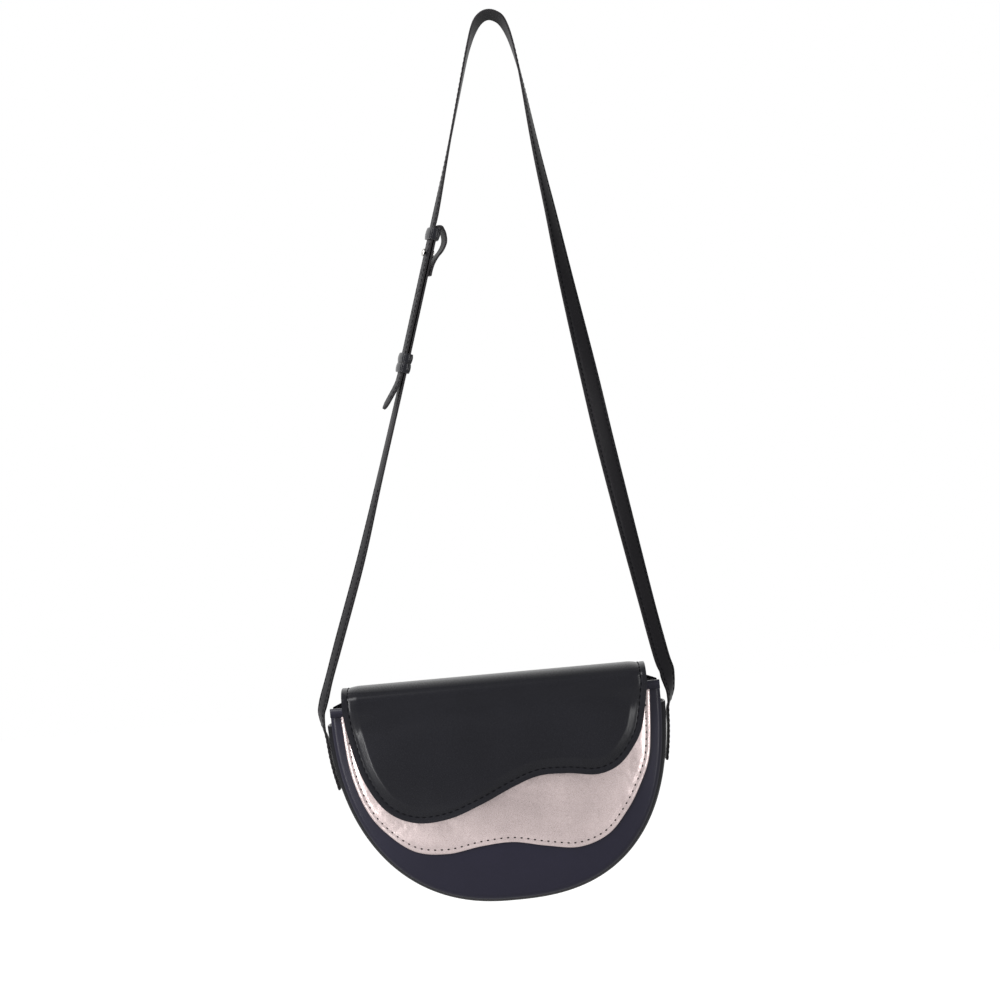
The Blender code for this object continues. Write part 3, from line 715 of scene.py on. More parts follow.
@dataclass(frozen=True)
class MetalFinish(Finish):
    """Polished plated metal with faint wear."""

    roughness: float = 0.18
    wear: float = 0.12
    wear_size: float = 0.0012
    wear_depth: float = 0.00002

    def dress(self, sketch: NodeSketch) -> None:
        """Wear the polish.

        Args:
            sketch: The material's nodes.
        """
        wear = sketch.noise(self.wear_size, 4.0)
        sketch.wire(
            Base_Color=sketch.vary(sketch.spread(wear, 0.0, 1.0), self.colour, 0.88, 1.0),
            Roughness=sketch.spread(wear, self.roughness, self.roughness + self.wear),
            Normal=sketch.bump(wear, self.wear_depth, 0.3), Metallic=1.0)


class Finishes:
    """Every finish on the bag, made once."""

    def __init__(self) -> None:
        """Make the materials."""
        self.black = LeatherFinish("black calf leather", (0.0060, 0.0060, 0.0080),
                                   0.26, specular=0.13).build()
        self.strap = LeatherFinish("strap leather", (0.0105, 0.0100, 0.0112), 0.36,
                                   grain=0.0007, specular=0.035).build()
        self.gusset = LeatherFinish("gusset leather", (0.0055, 0.0055, 0.0070), 0.50,
                                    specular=0.03).build()
        self.navy = LeatherFinish("navy leather", (0.0078, 0.0072, 0.0148), 0.34,
                                  mottle=0.12, specular=0.15).build()
        self.foil = LeatherFinish("foiled leather", (0.385, 0.322, 0.317), 0.34, grain=0.0006,
                                  grain_depth=0.00005, mottle=0.24, metallic=0.8,
                                  sparkle=0.08, fleck=0.4, drape=0.004).build()
        self.dark_edge = EdgePaint("black edge paint", (0.012, 0.012, 0.014)).build()
        self.strap_edge = EdgePaint("strap edge paint", (0.015, 0.014, 0.015), 0.50, 0.0,
                                    0.04).build()
        # The keepers' edge paint is partly painted highlight: its light grey stands in for the
        # bright lines that light draws along their rounded edges.
        self.keeper_edge_highlight = EdgePaint("keeper edge paint with painted highlight", (0.11, 0.105, 0.11), 0.45, 0.0).build()
        self.foil_edge = EdgePaint("rose edge paint", (0.07, 0.045, 0.05)).build()
        self.black_thread = ThreadFinish("black thread", (0.003, 0.003, 0.004), 0.7, 0.0,
                                         0.02).build()
        self.rose_thread = ThreadFinish("rose thread", (0.30, 0.25, 0.245)).build()
        # Near-black marks between the stitches are painted shade: they stand in for the shade
        # inside the needle holes.
        self.hole = ThreadFinish("needle hole painted shade", (0.008, 0.006, 0.006), 0.9, 0.0, 0.0).build()
        self.lining = ClothFinish("woven lining", (0.045, 0.042, 0.050)).build()
        self.metal = MetalFinish("plated metal", (0.62, 0.60, 0.57)).build()


# Setting


@dataclass(frozen=True)
class Lamp:
    """A soft lamp, as wide as its size and that many times as high."""

    name: str
    place: tuple[float, float, float]
    size: float
    power: float
    stretch: float = 1.0

    def build(self, aim: Sequence[float]) -> None:
        """Hang the lamp so that it faces a point.

        Args:
            aim: The point.
        """
        lamp = bpy.data.lights.new(self.name, "AREA")
        lamp.shape, lamp.energy = "RECTANGLE", self.power
        lamp.size, lamp.size_y = self.size, self.size * self.stretch
        holder = stand(self.name, lamp)
        holder.location = self.place
        turn = (Vector(aim) - Vector(self.place)).to_track_quat("-Z", "Y")
        holder.rotation_euler = turn.to_euler()


@dataclass(frozen=True)
class Studio:
    """A white studio and the camera that sees the bag as it hangs."""

    camera_place: tuple[float, float, float] = (-0.0218, -1.716, -0.3316)
    lens: float = 90.0
    sensor: float = 36.0
    roll_degrees: float = 5.2
    middle: tuple[float, float, float] = (-0.037, 0.0, -0.45)
    lamps: tuple[Lamp, ...] = (
        Lamp("strip box left", (-1.20, -1.15, -0.40), 0.24, 28.0, 5.6),
        Lamp("strip box right", (1.14, -1.15, -0.35), 0.24, 17.0, 5.6),
        Lamp("key box", (-0.75, -0.75, 0.55), 0.7, 24.0),
    )
    air: float = 0.07
    floor_height: float = -0.78
    floor_size: float = 4.0
    floor_tone: float = 0.80
    floor_shade: float = 0.40
    floor_glow: tuple[float, float] = (0.87, 1.0)
    floor_reach: tuple[float, float] = (0.2, 1.3)

    def white(self) -> bpy.types.Material:
        """Make the floor's finish, white to the camera and in reflections, with its shadow.

        Returns:
            The material.
        """
        sketch = NodeSketch("studio floor")
        sketch.wire(Base_Color=(*[self.floor_tone] * 3, 1.0), Roughness=0.9)
        away = sketch.add("ShaderNodeVectorMath", operation="LENGTH", i0=sketch.place)
        level = sketch.spread(away.outputs[1], *self.floor_glow, *self.floor_reach)
        glow = sketch.add("ShaderNodeEmission", strength=level)
        shade = sketch.add("ShaderNodeBsdfDiffuse", i0=(*[self.floor_shade] * 3, 1.0))
        pale = sketch.add("ShaderNodeAddShader", i0=glow.outputs[0], i1=shade.outputs[0])
        blend = sketch.add("ShaderNodeMixShader", i0=self.seen(sketch.tree),
                           i1=sketch.shader.outputs[0], i2=pale.outputs[0])
        out = sketch.tree.nodes["Material Output"]
        sketch.tree.links.new(blend.outputs[0], out.inputs["Surface"])
        return sketch.material

    def seen(self, tree: bpy.types.NodeTree) -> bpy.types.NodeSocket:
        """Tell the rays that show the background from those that light the bag.

        Args:
            tree: The nodes that it is added to.

        Returns:
            1 for a camera, glossy or transmission ray, and 0 for the others.
        """
        rays = tree.nodes.new("ShaderNodeLightPath")
        found = rays.outputs["Is Camera Ray"]
        for name in ("Is Glossy Ray", "Is Transmission Ray"):
            either = tree.nodes.new("ShaderNodeMath")
            either.operation = "MAXIMUM"
            tree.links.new(found, either.inputs[0])
            tree.links.new(rays.outputs[name], either.inputs[1])
            found = either.outputs[0]
        return found

    def world(self) -> None:
        """Light the air evenly and show white behind the bag."""
        world = bpy.data.worlds.new("studio air")
        bpy.context.scene.world = world
        world.use_nodes = True
        tree = world.node_tree
        tree.nodes.clear()
        blend = tree.nodes.new("ShaderNodeMixShader")
        tree.links.new(self.seen(tree), blend.inputs[0])
        for spot, strength in ((1, self.air), (2, 1.0)):
            air = tree.nodes.new("ShaderNodeBackground")
            air.inputs[0].default_value = (1.0, 1.0, 1.0, 1.0)
            air.inputs[1].default_value = strength
            tree.links.new(air.outputs[0], blend.inputs[spot])
        out = tree.nodes.new("ShaderNodeOutputWorld")
        tree.links.new(blend.outputs[0], out.inputs[0])

    def floor(self) -> None:
        """Lay the floor, which isn't part of the bag."""
        bm = bmesh.new()
        bmesh.ops.create_grid(bm, x_segments=1, y_segments=1, size=self.floor_size)
        floor = stand("floor", bm)
        floor.location = (0.0, 0.0, self.floor_height)
        floor.data.materials.append(self.white())

    def camera(self) -> None:
        """Set up the camera, with its roll."""
        data = bpy.data.cameras.new("camera")
        data.lens, data.sensor_width = self.lens, self.sensor
        camera = stand("camera", data)
        roll = math.radians(self.roll_degrees)
        right = Vector((math.cos(roll), 0.0, -math.sin(roll)))
        above = Vector((math.sin(roll), 0.0, math.cos(roll)))
        turn = Matrix((right, above, Vector((0.0, -1.0, 0.0)))).transposed()
        camera.matrix_world = Matrix.Translation(self.camera_place) @ turn.to_4x4()
        bpy.context.scene.camera = camera

    def build(self) -> None:
        """Place the floor, world, lamps and camera."""
        bpy.context.scene.view_settings.view_transform = "Standard"
        self.floor()
        self.world()
        for lamp in self.lamps:
            lamp.build(self.middle)
        self.camera()


# Sewing


FRONTWARD = Vector((0, -1, 0))


@dataclass(frozen=True)
class Sewing:
    """A row of stitches that lies in its groove."""

    pitch: float
    length: float
    width: float
    height: float

    def run(self, points: Sequence[Vector], normals: Sequence[Vector], phase: float = 0.5
            ) -> bmesh.types.BMesh:
        """Lay stitches along a line on a surface.

        Args:
            points: The line.
            normals: The surface's outward direction at each point.
            phase: Where the first stitch has its middle, as a share of the pitch.

        Returns:
            The stitches as one mesh.
        """
        bm = bmesh.new()
        lengths = [0.0]
        for start, end in zip(points, points[1:]):
            lengths.append(lengths[-1] + (end - start).length)
        count = max(int(lengths[-1] / self.pitch), 1)
        step = lengths[-1] / count
        index = 0
        for number in range(count):
            target = min((number + phase) * step, lengths[-1])
            while index < len(lengths) - 2 and lengths[index + 1] < target:
                index += 1
            share = (target - lengths[index]) / (lengths[index + 1] - lengths[index])
            place = points[index].lerp(points[index + 1], share)
            along = (points[index + 1] - points[index]).normalized()
            out = normals[index].lerp(normals[index + 1], share).normalized()
            side = out.cross(along).normalized()
            out = along.cross(side)
            turn = Matrix((along * self.length / 2, side * self.width / 2,
                           out * self.height / 2)).transposed().to_4x4()
            bmesh.ops.create_uvsphere(bm, u_segments=8, v_segments=5, radius=1.0,
                                      matrix=Matrix.Translation(place) @ turn)
        bmesh.ops.recalc_face_normals(bm, faces=bm.faces)
        return bm

    def holes(self, size: float, depth: float, slimness: float) -> "Sewing":
        """Give the needle's holes between the stitches, as a row of their own."""
        return Sewing(self.pitch, size, size * slimness, depth)


# Bag body


@dataclass
class BagBody:
    """The panels, gusset, binding and lining of the bag."""

    form: BagForm
    finishes: Finishes
    gusset_leather: float = 0.0016
    gusset_turn_from: float = 0.86
    gusset_turn_in: float = 0.0004
    gusset_turn_out: float = 0.0009
    lining_cloth: float = 0.0009
    lining_space: float = 0.0013
    least_drop: float = 0.001
    binding_leather: float = 0.0010
    binding_drop: float = 0.0045
    binding_flat: float = 0.4
    binding_seam: float = 0.6
    rim_steps: int = 120
    tongue_half_width: float = 0.104
    tongue_height: float = 0.0035
    wave_half_width: float = 0.105
    wave_depth: float = 0.1056
    wave_seam_inset: float = 0.0031
    seam_dent: float = 0.00045
    seam_spread: float = 0.0016
    edge_roll: float = 0.0006
    edge_spread: float = 0.0024
    corner_degrees: float = 3.0
    panel_edge: float = 0.0004
    crowding: float = 1.9
    front_grid: Grid = (150, 44)
    foil_grid: Grid = (220, 72)
    back_grid: Grid = (130, 44)
    gusset_grid: Grid = (200, 26)
    lining_grid: Grid = (70, 24)
    lining_strip_grid: Grid = (110, 12)
    hole_length: float = 0.0018
    hole_depth: float = 0.00020
    hole_slimness: float = 0.72
    wave_sewing: Sewing = Sewing(0.00455, 0.0029, 0.0007, 0.0003)
    rim_sewing: Sewing = Sewing(0.0033, 0.0022, 0.0006, 0.0004)
    wave_edge_shares: Shares = (
        (-1.000, 0.090), (-0.972, 0.390), (-0.893, 0.640), (-0.780, 0.800), (-0.600, 0.938),
        (-0.390, 0.970), (-0.170, 0.939), (0.035, 0.930), (0.245, 0.972), (0.457, 1.000),
        (0.645, 0.940), (0.777, 0.808), (0.880, 0.650), (0.965, 0.440), (1.000, 0.060),
    )

    def __post_init__(self) -> None:
        """Trace the outline and the wavy edge, and find the angle left out at each corner."""
        self.corner = math.radians(self.corner_degrees)
        self.outline = self.form.outline_line(self.corner)
        self.wave = Polyline([(x * self.wave_half_width, -z * self.wave_depth)
                              for x, z in spline(self.wave_edge_shares, 24)])

    def hung(self, edge: Polyline, face: Callable[[float, float, float], float],
             top: Callable[[float], float] = lambda across: 0.0) -> Place:
        """Hang a sheet from the rim down to an edge.

        Args:
            edge: Its lower edge.
            face: Gives the y for a place across, a height, and 0 outside or 1 inside.
            top: Gives the height at which the sheet starts.

        Returns:
            The function that places the sheet's points.
        """

        def place(u: float, v: float, w: float) -> Vector:
            """Find a point of the sheet.

            Args:
                u: From 0 at the left to 1 at the right.
                v: From 0 at the top to 1 at the edge.
                w: 0 on the outer face and 1 on the inner one.

            Returns:
                The point.
            """
            across, low = edge.at(u)
            start = top(across)
            up = start + (min(low, start - self.least_drop) - start) * v
            return self.form.point(across, face(across, up, w), up)

        return place

    def tongue(self, across: float) -> float:
        """Find how far the back rises above the rim to carry the flap.

        Args:
            across: Place from the middle.

        Returns:
            The height.
        """
        ramp = self.form.half_width - self.tongue_half_width
        reach = min(max((self.form.half_width - abs(across)) / ramp, 0.0), 1.0)
        return self.tongue_height * reach

    def foil_face(self, across: float, up: float, w: float = 0.0) -> float:
        """Find the y of the wavy panel, drawn in at its seam and rolled down at its edge.

        Args:
            across: Place from the middle.
            up: Height from the rim.
            w: 0 on the outer face and 1 on the inner one.

        Returns:
            The y.
        """
        form, margin = self.form, self.wave.distance(across, up)
        dent = self.seam_dent * math.exp(
            -((margin - self.wave_seam_inset) / self.seam_spread) ** 2)
        dent += self.edge_roll * max(1 - margin / self.edge_spread, 0.0) ** 2
        return form.wave_face(across, up) + dent * (1 - w) + w * form.wave_leather

    def panels(self) -> None:
        """Make the navy front, the foiled panel over it and the flat back."""
        form, finishes = self.form, self.finishes
        front = self.hung(self.outline, lambda x, z, w: form.front_face(x, z)
                          + form.seam_roll(x, z) + w * form.body_leather)
        back = self.hung(self.outline, lambda x, z, w: form.back_seam(z)
                         - form.seam_roll(x, z) - w * form.body_leather, self.tongue)
        crowd = edge_dense(self.crowding)
        Piece("front_navy_panel", block(*self.front_grid, front, along=crowd), finishes.navy,
              Slot.NAVY, Body.BAG, ("front_panel",), self.panel_edge).build()
        foil = block(*self.foil_grid, self.hung(self.wave, self.foil_face), along=crowd)
        Piece("wavy_foil_panel", foil, finishes.foil, Slot.METALLIC, Body.BAG, ("wave_panel",),
              self.panel_edge, finishes.foil_edge).build()
        self.wave_stitches()
        Piece("back_navy_panel", block(*self.back_grid, back, along=crowd), finishes.navy,
              Slot.NAVY, Body.BAG, ("back_panel",), self.panel_edge).build()

    def wave_stitches(self) -> None:
        """Sew the wavy panel down along its edge."""
        points = [self.form.point(x, self.foil_face(x, z), z) for x, z in
                  self.wave.inset(self.wave_seam_inset).points
                  if z < -self.binding_drop - self.least_drop]
        normals, sewing = [FRONTWARD] * len(points), self.wave_sewing
        # The needle-hole row is dark painted shade laid on the foil, not a hole cut into it.
        holes = sewing.holes(self.hole_length, self.hole_depth, self.hole_slimness)
        for name, mesh, finish in (
                ("wavy_panel_stitches", sewing.run(points, normals), self.finishes.rose_thread),
                ("wavy_panel_needle_hole_shade", holes.run(points, normals, 1.0),
                 self.finishes.hole)):
            Piece(name, mesh, finish, Slot.METALLIC, Body.BAG).build()

    def strip(self, spot: Callable[[float], tuple[float, float]], gap: float, leather: float,
              turned: bool) -> Place:
        """Bulge a strip between the panels.

        Args:
            spot: Gives the place across and the height for a share of the outline.
            gap: How far the strip stays inside the two seams.
            leather: Its thickness.
            turned: Whether it turns in at both seams.

        Returns:
            The function that places the strip's points.
        """
        form = self.form

        def place(u: float, v: float, w: float) -> Vector:
            """Find a point of the strip.

            Args:
                u: From 0 at the left to 1 at the right.
                v: From 0 at the front to 1 at the back.
                w: 0 on the outer face and 1 on the inner one.

            Returns:
                The point.
            """
            across, up = spot(u)
            side, rise = form.outline_normal(across, up)
            front, back = -form.front_seam(up) + gap, form.back_seam(up) - gap
            share = 2 * v - 1
            near = max(abs(share) - self.gusset_turn_from, 0.0) / (1 - self.gusset_turn_from)
            near = near ** 2 if turned else 0.0
            offset = form.gusset_rise(share) - self.gusset_turn_in * near - w * leather
            y = front + (back - front) * v + math.copysign(self.gusset_turn_out * near, share)
            return form.point(across + side * offset, y, up + rise * offset)

        return place

    def gusset(self) -> None:
        """Make the strip between the panels, turned in at both seams."""
        gap = self.form.body_leather + self.form.clearance
        mesh = block(*self.gusset_grid,
                     self.strip(self.outline.at, gap, self.gusset_leather, True))
        Piece("gusset_strip", mesh, self.finishes.gusset, Slot.BLACK, Body.BAG, ("gusset",),
              self.panel_edge, self.finishes.dark_edge).build()

    def lining(self) -> None:
        """Make the three cloth pieces of the inner bag."""
        form, cloth = self.form, self.lining_cloth
        edge = form.outline_line(self.corner, self.gusset_leather + 2 * form.clearance)
        side, span = form.body_leather + self.lining_space, math.pi - 2 * self.corner
        top = -self.binding_drop - form.clearance
        front = self.hung(edge, lambda x, z, w: form.front_face(x, z) + side + w * cloth,
                          lambda across: top)
        back = self.hung(edge, lambda x, z, w: form.back_seam(z) - side - w * cloth)
        strip = self.strip(lambda u: form.outline(math.pi - self.corner - span * u,
                                                  self.gusset_leather + form.clearance),
                           side + cloth + form.clearance, cloth, False)
        for name, place, grid, node in (
                ("lining_front", front, self.lining_grid, "front_lining"),
                ("lining_back", back, self.lining_grid, "back_lining"),
                ("lining_strip", strip, self.lining_strip_grid, "gusset_lining")):
            Piece(name, block(*grid, place), self.finishes.lining, Slot.LINING, Body.BAG,
                  (node,)).build()

    def rim(self) -> list[tuple[float, float]]:
        """Follow the front rim.

        Returns:
            The place across, and the y on which the binding lies, at each step.
        """
        form, spots = self.form, []
        for k in range(self.rim_steps + 1):
            angle = math.pi - self.corner - (math.pi - 2 * self.corner) * k / self.rim_steps
            across = form.half_width * math.cos(angle)
            spots.append((across, form.wave_face(across, 0.0) - form.clearance
                          - form.skin_ease))
        return spots

    def binding(self) -> None:
        """Fold the binding strip over the front rim."""
        form, leather, bm, edges = self.form, self.binding_leather, bmesh.new(), []
        low, top, flat = -self.binding_drop, form.clearance, self.binding_flat
        for across, outside in self.rim():
            inside = form.front_face(across, 0.0) + form.body_leather + form.clearance
            profile = [(outside - leather, low), (outside - leather, top + leather * flat)]
            middle, half = (outside + inside) / 2, (inside - outside) / 2 + leather
            for step in range(7):
                angle = math.pi * step / 6
                profile.append((middle - half * math.cos(angle),
                                top + leather * (flat + (1 - flat) * math.sin(angle))))
            profile += [(inside + leather, top + leather * flat), (inside + leather, low),
                        (inside, low), (inside, top), (outside, top), (outside, low)]
            lean = form.front_spread / form.height
            ring = [bm.verts.new(form.point(across, y + min(up, 0.0) * lean, up))
                    for y, up in profile]
            edges.append([bm.edges.new(pair) for pair in zip(ring, ring[1:] + ring[:1])])
        for first, second in zip(edges, edges[1:]):
            bmesh.ops.bridge_loops(bm, edges=first + second)
        for ends in (edges[0], edges[-1]):
            bmesh.ops.contextual_create(bm, geom=ends)
        bmesh.ops.remove_doubles(bm, verts=bm.verts, dist=0.00001)
        bmesh.ops.recalc_face_normals(bm, faces=bm.faces)
        Piece("rim_binding", bm, self.finishes.navy, Slot.NAVY, Body.BAG,
              ("front_binding",)).build()

    def binding_stitches(self) -> None:
        """Sew the binding along the rim."""
        points = [self.form.point(across, face - self.binding_leather,
                                  -self.binding_drop * self.binding_seam)
                  for across, face in self.rim()]
        mesh = self.rim_sewing.run(points, [FRONTWARD] * len(points))
        Piece("rim_stitches", mesh, self.finishes.black_thread, Slot.BLACK, Body.BAG).build()

    def build(self) -> None:
        """Make every piece of the bag's body."""
        self.panels()
        self.gusset()
        self.lining()
        self.binding()
        self.binding_stitches()


# Flap


@dataclass
class Flap:
    """The padded flap, from its yoke on the back over the mouth to its wavy edge."""

    form: BagForm
    finishes: Finishes
    half_width: float = 0.1035
    depth: float = 0.0795
    leather: float = 0.0016
    lining_cloth: float = 0.0009
    pad_rise: float = 0.0017
    pad_fill: float = 0.5
    pad_least: float = 0.0005
    front_reach: float = 0.0274
    top_rise: float = 0.0095
    top_power: float = 2.4
    settle: float = 0.025
    edge_lift: float = 0.0008
    tongue_height: float = 0.0035
    yoke_drop: float = 0.024
    snap_lift: float = 0.0043
    snap_place: tuple[float, float] = (-0.030015, -0.051993)
    snap_spread: float = 0.034
    seam_inset: float = 0.0041
    seam_groove: float = 0.0004
    groove_width: float = 0.0011
    pad_start: float = 0.0044
    pad_ramp: float = 0.0066
    pad_over_fold: float = 0.45
    pad_fold_reach: float = 0.030
    bend_part: float = 0.22
    yoke_part: float = 0.5
    yoke_corner: float = 0.012
    front_bend: tuple[float, float] = (0.004, 0.006)
    back_bend: tuple[float, float] = (0.004, 0.003)
    face_merge: float = 0.0012
    edge_round: float = 0.00045
    side_rise: float = 0.024
    side_steps: int = 24
    front_grid: Grid = (200, 104)
    back_grid: Grid = (150, 48)
    front_lining_grid: Grid = (120, 60)
    back_lining_grid: Grid = (60, 20)
    crowding: float = 1.35
    thread_lift: float = 0.0001
    seam_foot: float = 0.12
    sewing: Sewing = Sewing(0.0046, 0.0033, 0.0008, 0.0005)
    swell_start: float = 0.006
    swell_ramp: float = 0.040
    swell_rise: float = 0.0008
    rim_lift: float = 0.0012
    edge_shares: Shares = (
        (-1.000, 0.000), (-0.980, 0.220), (-0.909, 0.580), (-0.775, 0.868), (-0.590, 0.995),
        (-0.370, 0.985), (-0.145, 0.884), (0.065, 0.765), (0.240, 0.690), (0.430, 0.690),
        (0.620, 0.722), (0.760, 0.668), (0.865, 0.535), (0.945, 0.350), (1.000, 0.000),
    )

    def __post_init__(self) -> None:
        """Trace the flap's edge and the line of its stitches."""
        self.edge = Polyline([(x * self.half_width, -z * self.depth)
                              for x, z in spline(self.edge_shares, 20)])
        top, steps = self.bend_foot() + self.side_rise, self.side_steps
        side = [(self.half_width, top * k / steps) for k in range(1, steps + 1)]
        self.around = Polyline([(-x, z) for x, z in side[::-1]] + self.edge.points + side)

    def bend_foot(self) -> float:
        """Give the height at which the flap starts to bend over the mouth."""
        return self.tongue_height + 2 * self.form.clearance

    def hinge_y(self) -> float:
        """Give the y of the yoke's outer face at the back fold."""
        return self.form.back_seam(self.bend_foot()) + self.form.clearance + self.leather

    def bend(self, share: float, inset: float) -> tuple[float, float]:
        """Find a point of the bend over the mouth.

        Args:
            share: From 0 at the back fold to 1 at the front fold.
            inset: How far inside the outer face.

        Returns:
            The y and the height.
        """
        back, front = self.hinge_y() - inset, -self.front_reach + inset
        middle, half = (back + front) / 2, (back - front) / 2
        angle, power = math.pi * share, 2 / self.top_power
        side = math.copysign(abs(math.cos(angle)) ** power, math.cos(angle))
        rise = (self.top_rise - inset) * max(math.sin(angle), 0.0) ** power
        return middle + half * side, self.bend_foot() + rise

    def inner_face(self, across: float, up: float) -> float:
        """Find the y of the lining's inner face on the front, which clears the snap.

        Args:
            across: Place from the middle.
            up: Height from the rim.

        Returns:
            The y.
        """
        nearness = math.dist((across, up), self.snap_place) / self.snap_spread
        lift = self.edge_lift + (self.snap_lift - self.edge_lift) * math.exp(-nearness ** 4)
        settled = self.form.wave_face(across, up) - lift
        share = smooth_step(-up / self.settle)
        start = -self.front_reach + self.leather + self.form.clearance + self.lining_cloth
        return (1 - share) * start + share * settled

    def relief(self, across: float, up: float) -> float:
        """Find how far the padded leather stands off its lining.

        Args:
            across: Place from the middle.
            up: Height from the rim.

        Returns:
            The padding's rise, less the groove of the stitches.
        """
        margin = self.around.distance(across, up)
        below = smooth_step((self.bend_foot() - up) / self.pad_fold_reach)
        rise = self.padding(margin) * (self.pad_over_fold + (1 - self.pad_over_fold) * below)
        return rise - self.groove(margin)

    def padding(self, margin: float) -> float:
        """Find the foam's full rise at a distance from the flap's edge."""
        return self.pad_rise * soft_ramp((margin - self.pad_start) / self.pad_ramp)

    def groove(self, margin: float) -> float:
        """Find how deep the seam draws the leather in at a distance from the flap's edge."""
        return self.seam_groove * math.exp(-((margin - self.seam_inset) / self.groove_width) ** 2)

    def outer_face(self, across: float, up: float) -> float:
        """Find the y of the leather's outer face on the front, which hides the snap.

        Args:
            across: Place from the middle.
            up: Height from the rim.

        Returns:
            The y.
        """
        margin = self.around.distance(across, up)
        full = self.edge_lift + self.rim_lift + self.swell_rise * smooth_step(
            (margin - self.swell_start) / self.swell_ramp)
        share = smooth_step(-up / self.settle)
        inner, relief = self.inner_face(across, up), self.relief(across, up)
        level = self.form.wave_face(across, up) - full
        plump = (1 - share) * inner + share * level - relief
        pressed = inner - min(relief, self.pad_least)
        back, gap, blend = min(pressed, plump), abs(pressed - plump), self.face_merge
        if gap < blend:
            back -= (blend - gap) ** 2 / (4 * blend)
        return back - self.lining_cloth - self.form.clearance - self.leather

    def track(self, across: float, low: float, share: float, inset: float,
              lining: bool) -> Vector:
        """Find a point on the way from the top of the bend to the wavy edge.

        Args:
            across: Place from the middle.
            low: Height of the edge there.
            share: From 0 on top to 1 at the edge.
            inset: How far inside the leather's outer face.
            lining: Whether it is the lining's way.

        Returns:
            The point.
        """
        turn = self.bend_part
        if share < turn:
            if not lining and inset == 0:
                margin = self.half_width - abs(across)
                inset = self.groove(margin) - self.padding(margin) * self.pad_over_fold
            y, up = self.bend(0.5 + 0.5 * share / turn, inset)
            return self.form.point(across, y, up)
        up = self.bend_foot() + (low - self.bend_foot()) * (share - turn) / (1 - turn)
        if lining:
            cloth = self.leather + self.form.clearance
            y = self.inner_face(across, up) - self.lining_cloth + (inset - cloth)
        else:
            y = self.outer_face(across, up)
            if inset > 0:
                y = self.inner_face(across, up) - self.lining_cloth - self.form.clearance
        return self.form.point(across, y, up)

    def front_leather(self) -> None:
        """Make the padded leather of the front, from the top of the bend to the edge."""
        mesh = block(*self.front_grid, lambda u, v, w: self.track(
            *self.edge.at(u), v, w * self.leather, False), along=edge_dense(self.crowding))
        piece = Piece("flap_front_leather", mesh, self.finishes.black, Slot.BLACK,
                      nodes=("flap_front", "flap_pad"), edge=self.edge_round,
                      edge_material=self.finishes.dark_edge).build()
        self.bend_front(piece)

    def bend_front(self, piece: bpy.types.Object) -> None:
        """Bake a piece of the flap's front into its mesh, without bending it.

        Args:
            piece: The piece.
        """
        fold = self.form.point(0.0, -self.front_reach, self.bend_foot())
        above, below = self.front_bend
        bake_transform(piece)

    def bend_back(self, piece: bpy.types.Object) -> None:
        """Bake a piece between the yoke and the top of the flap into its mesh, without bending it.

        Args:
            piece: The piece.
        """
        fold = self.form.point(0.0, self.hinge_y(), self.bend_foot())
        above, below = self.back_bend
        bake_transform(piece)

    def back_track(self, across: float, share: float, inset: float, low: float) -> Vector:
        """Find a point on the way from the yoke's foot to the top of the bend.

        Args:
            across: Place from the middle.
            share: From 0 at the foot to 1 on top.
            inset: How far inside the outer face.
            low: Height of the foot.

        Returns:
            The point.
        """
        form, turn = self.form, self.yoke_part
        if share > turn:
            rise = (share - turn) / (1 - turn)
            if inset == 0:
                margin = self.half_width - abs(across)
                pad = self.padding(margin) * self.pad_over_fold * smooth_step(rise)
                inset = self.groove(margin) - pad
            y, up = self.bend(0.5 * rise, inset)
        else:
            up = low + (self.bend_foot() - low) * share / turn
            y = form.back_seam(up) + form.clearance + self.leather - inset
        return form.point(across, y, up)

    def back_leather(self) -> None:
        """Make the leather from the yoke's foot to the top of the bend."""

        def place(u: float, v: float, w: float) -> Vector:
            """Find a point, with the yoke's lower corners rounded.

            Args:
                u: From 0 at the left to 1 at the right.
                v: From 0 at the yoke's foot to 1 on top.
                w: 0 on the outer face and 1 on the inner one.

            Returns:
                The point.
            """
            across, round_off = self.half_width * (2 * u - 1), self.yoke_corner
            corner = max(abs(2 * u - 1) * self.half_width - self.half_width + round_off,
                         0.0) / round_off
            low = -self.yoke_drop + round_off * (1 - math.sqrt(max(1 - corner ** 2, 0.0)))
            return self.back_track(across, v, w * self.leather, low)

        self.bend_back(Piece("flap_back_leather", block(*self.back_grid, place),
                             self.finishes.black, Slot.BLACK, nodes=("flap_yoke", "flap_bend"),
                             edge=self.edge_round).build())

    def linings(self) -> None:
        """Make the flap's lining, in its front and back halves."""
        cloth = self.leather + self.form.clearance
        mesh = block(*self.front_lining_grid, lambda u, v, w: self.track(
            *self.edge.at(u), v, cloth + w * self.lining_cloth, True))
        self.bend_front(Piece("flap_front_lining", mesh, self.finishes.lining, Slot.LINING,
                              nodes=("flap_lining",)).build())
        mesh = block(*self.back_lining_grid, lambda u, v, w: self.form.point(
            self.half_width * (2 * u - 1), *self.bend(0.5 * v, cloth + w * self.lining_cloth)))
        Piece("flap_back_lining", mesh, self.finishes.lining, Slot.LINING, Body.FLAP_OVER,
              ("flap_bend_lining",)).build()

    def front_seam(self) -> list[tuple[Vector, Vector]]:
        """Follow the seam over the bend, along the wavy edge and back over the bend.

        Returns:
            Each point with the leather's outward direction there.
        """
        side, rims = self.half_width - self.seam_inset, []
        for sign in (-1, 1):
            rim = []
            for k in range(12):
                y, up = self.bend(0.5 + 0.5 * k / 12, self.seam_groove - self.thread_lift)
                angle = math.pi * k / 24
                rim.append((self.form.point(sign * side, y, up),
                            Vector((0, -math.sin(angle), math.cos(angle)))))
            rims.append(rim)
        line = [(self.form.point(x, self.outer_face(x, z) - self.thread_lift, z), FRONTWARD)
                for x, z in self.edge.inset(self.seam_inset).points
                if z < self.bend_foot() - self.front_bend[0]]
        return rims[0] + line + rims[1][::-1]

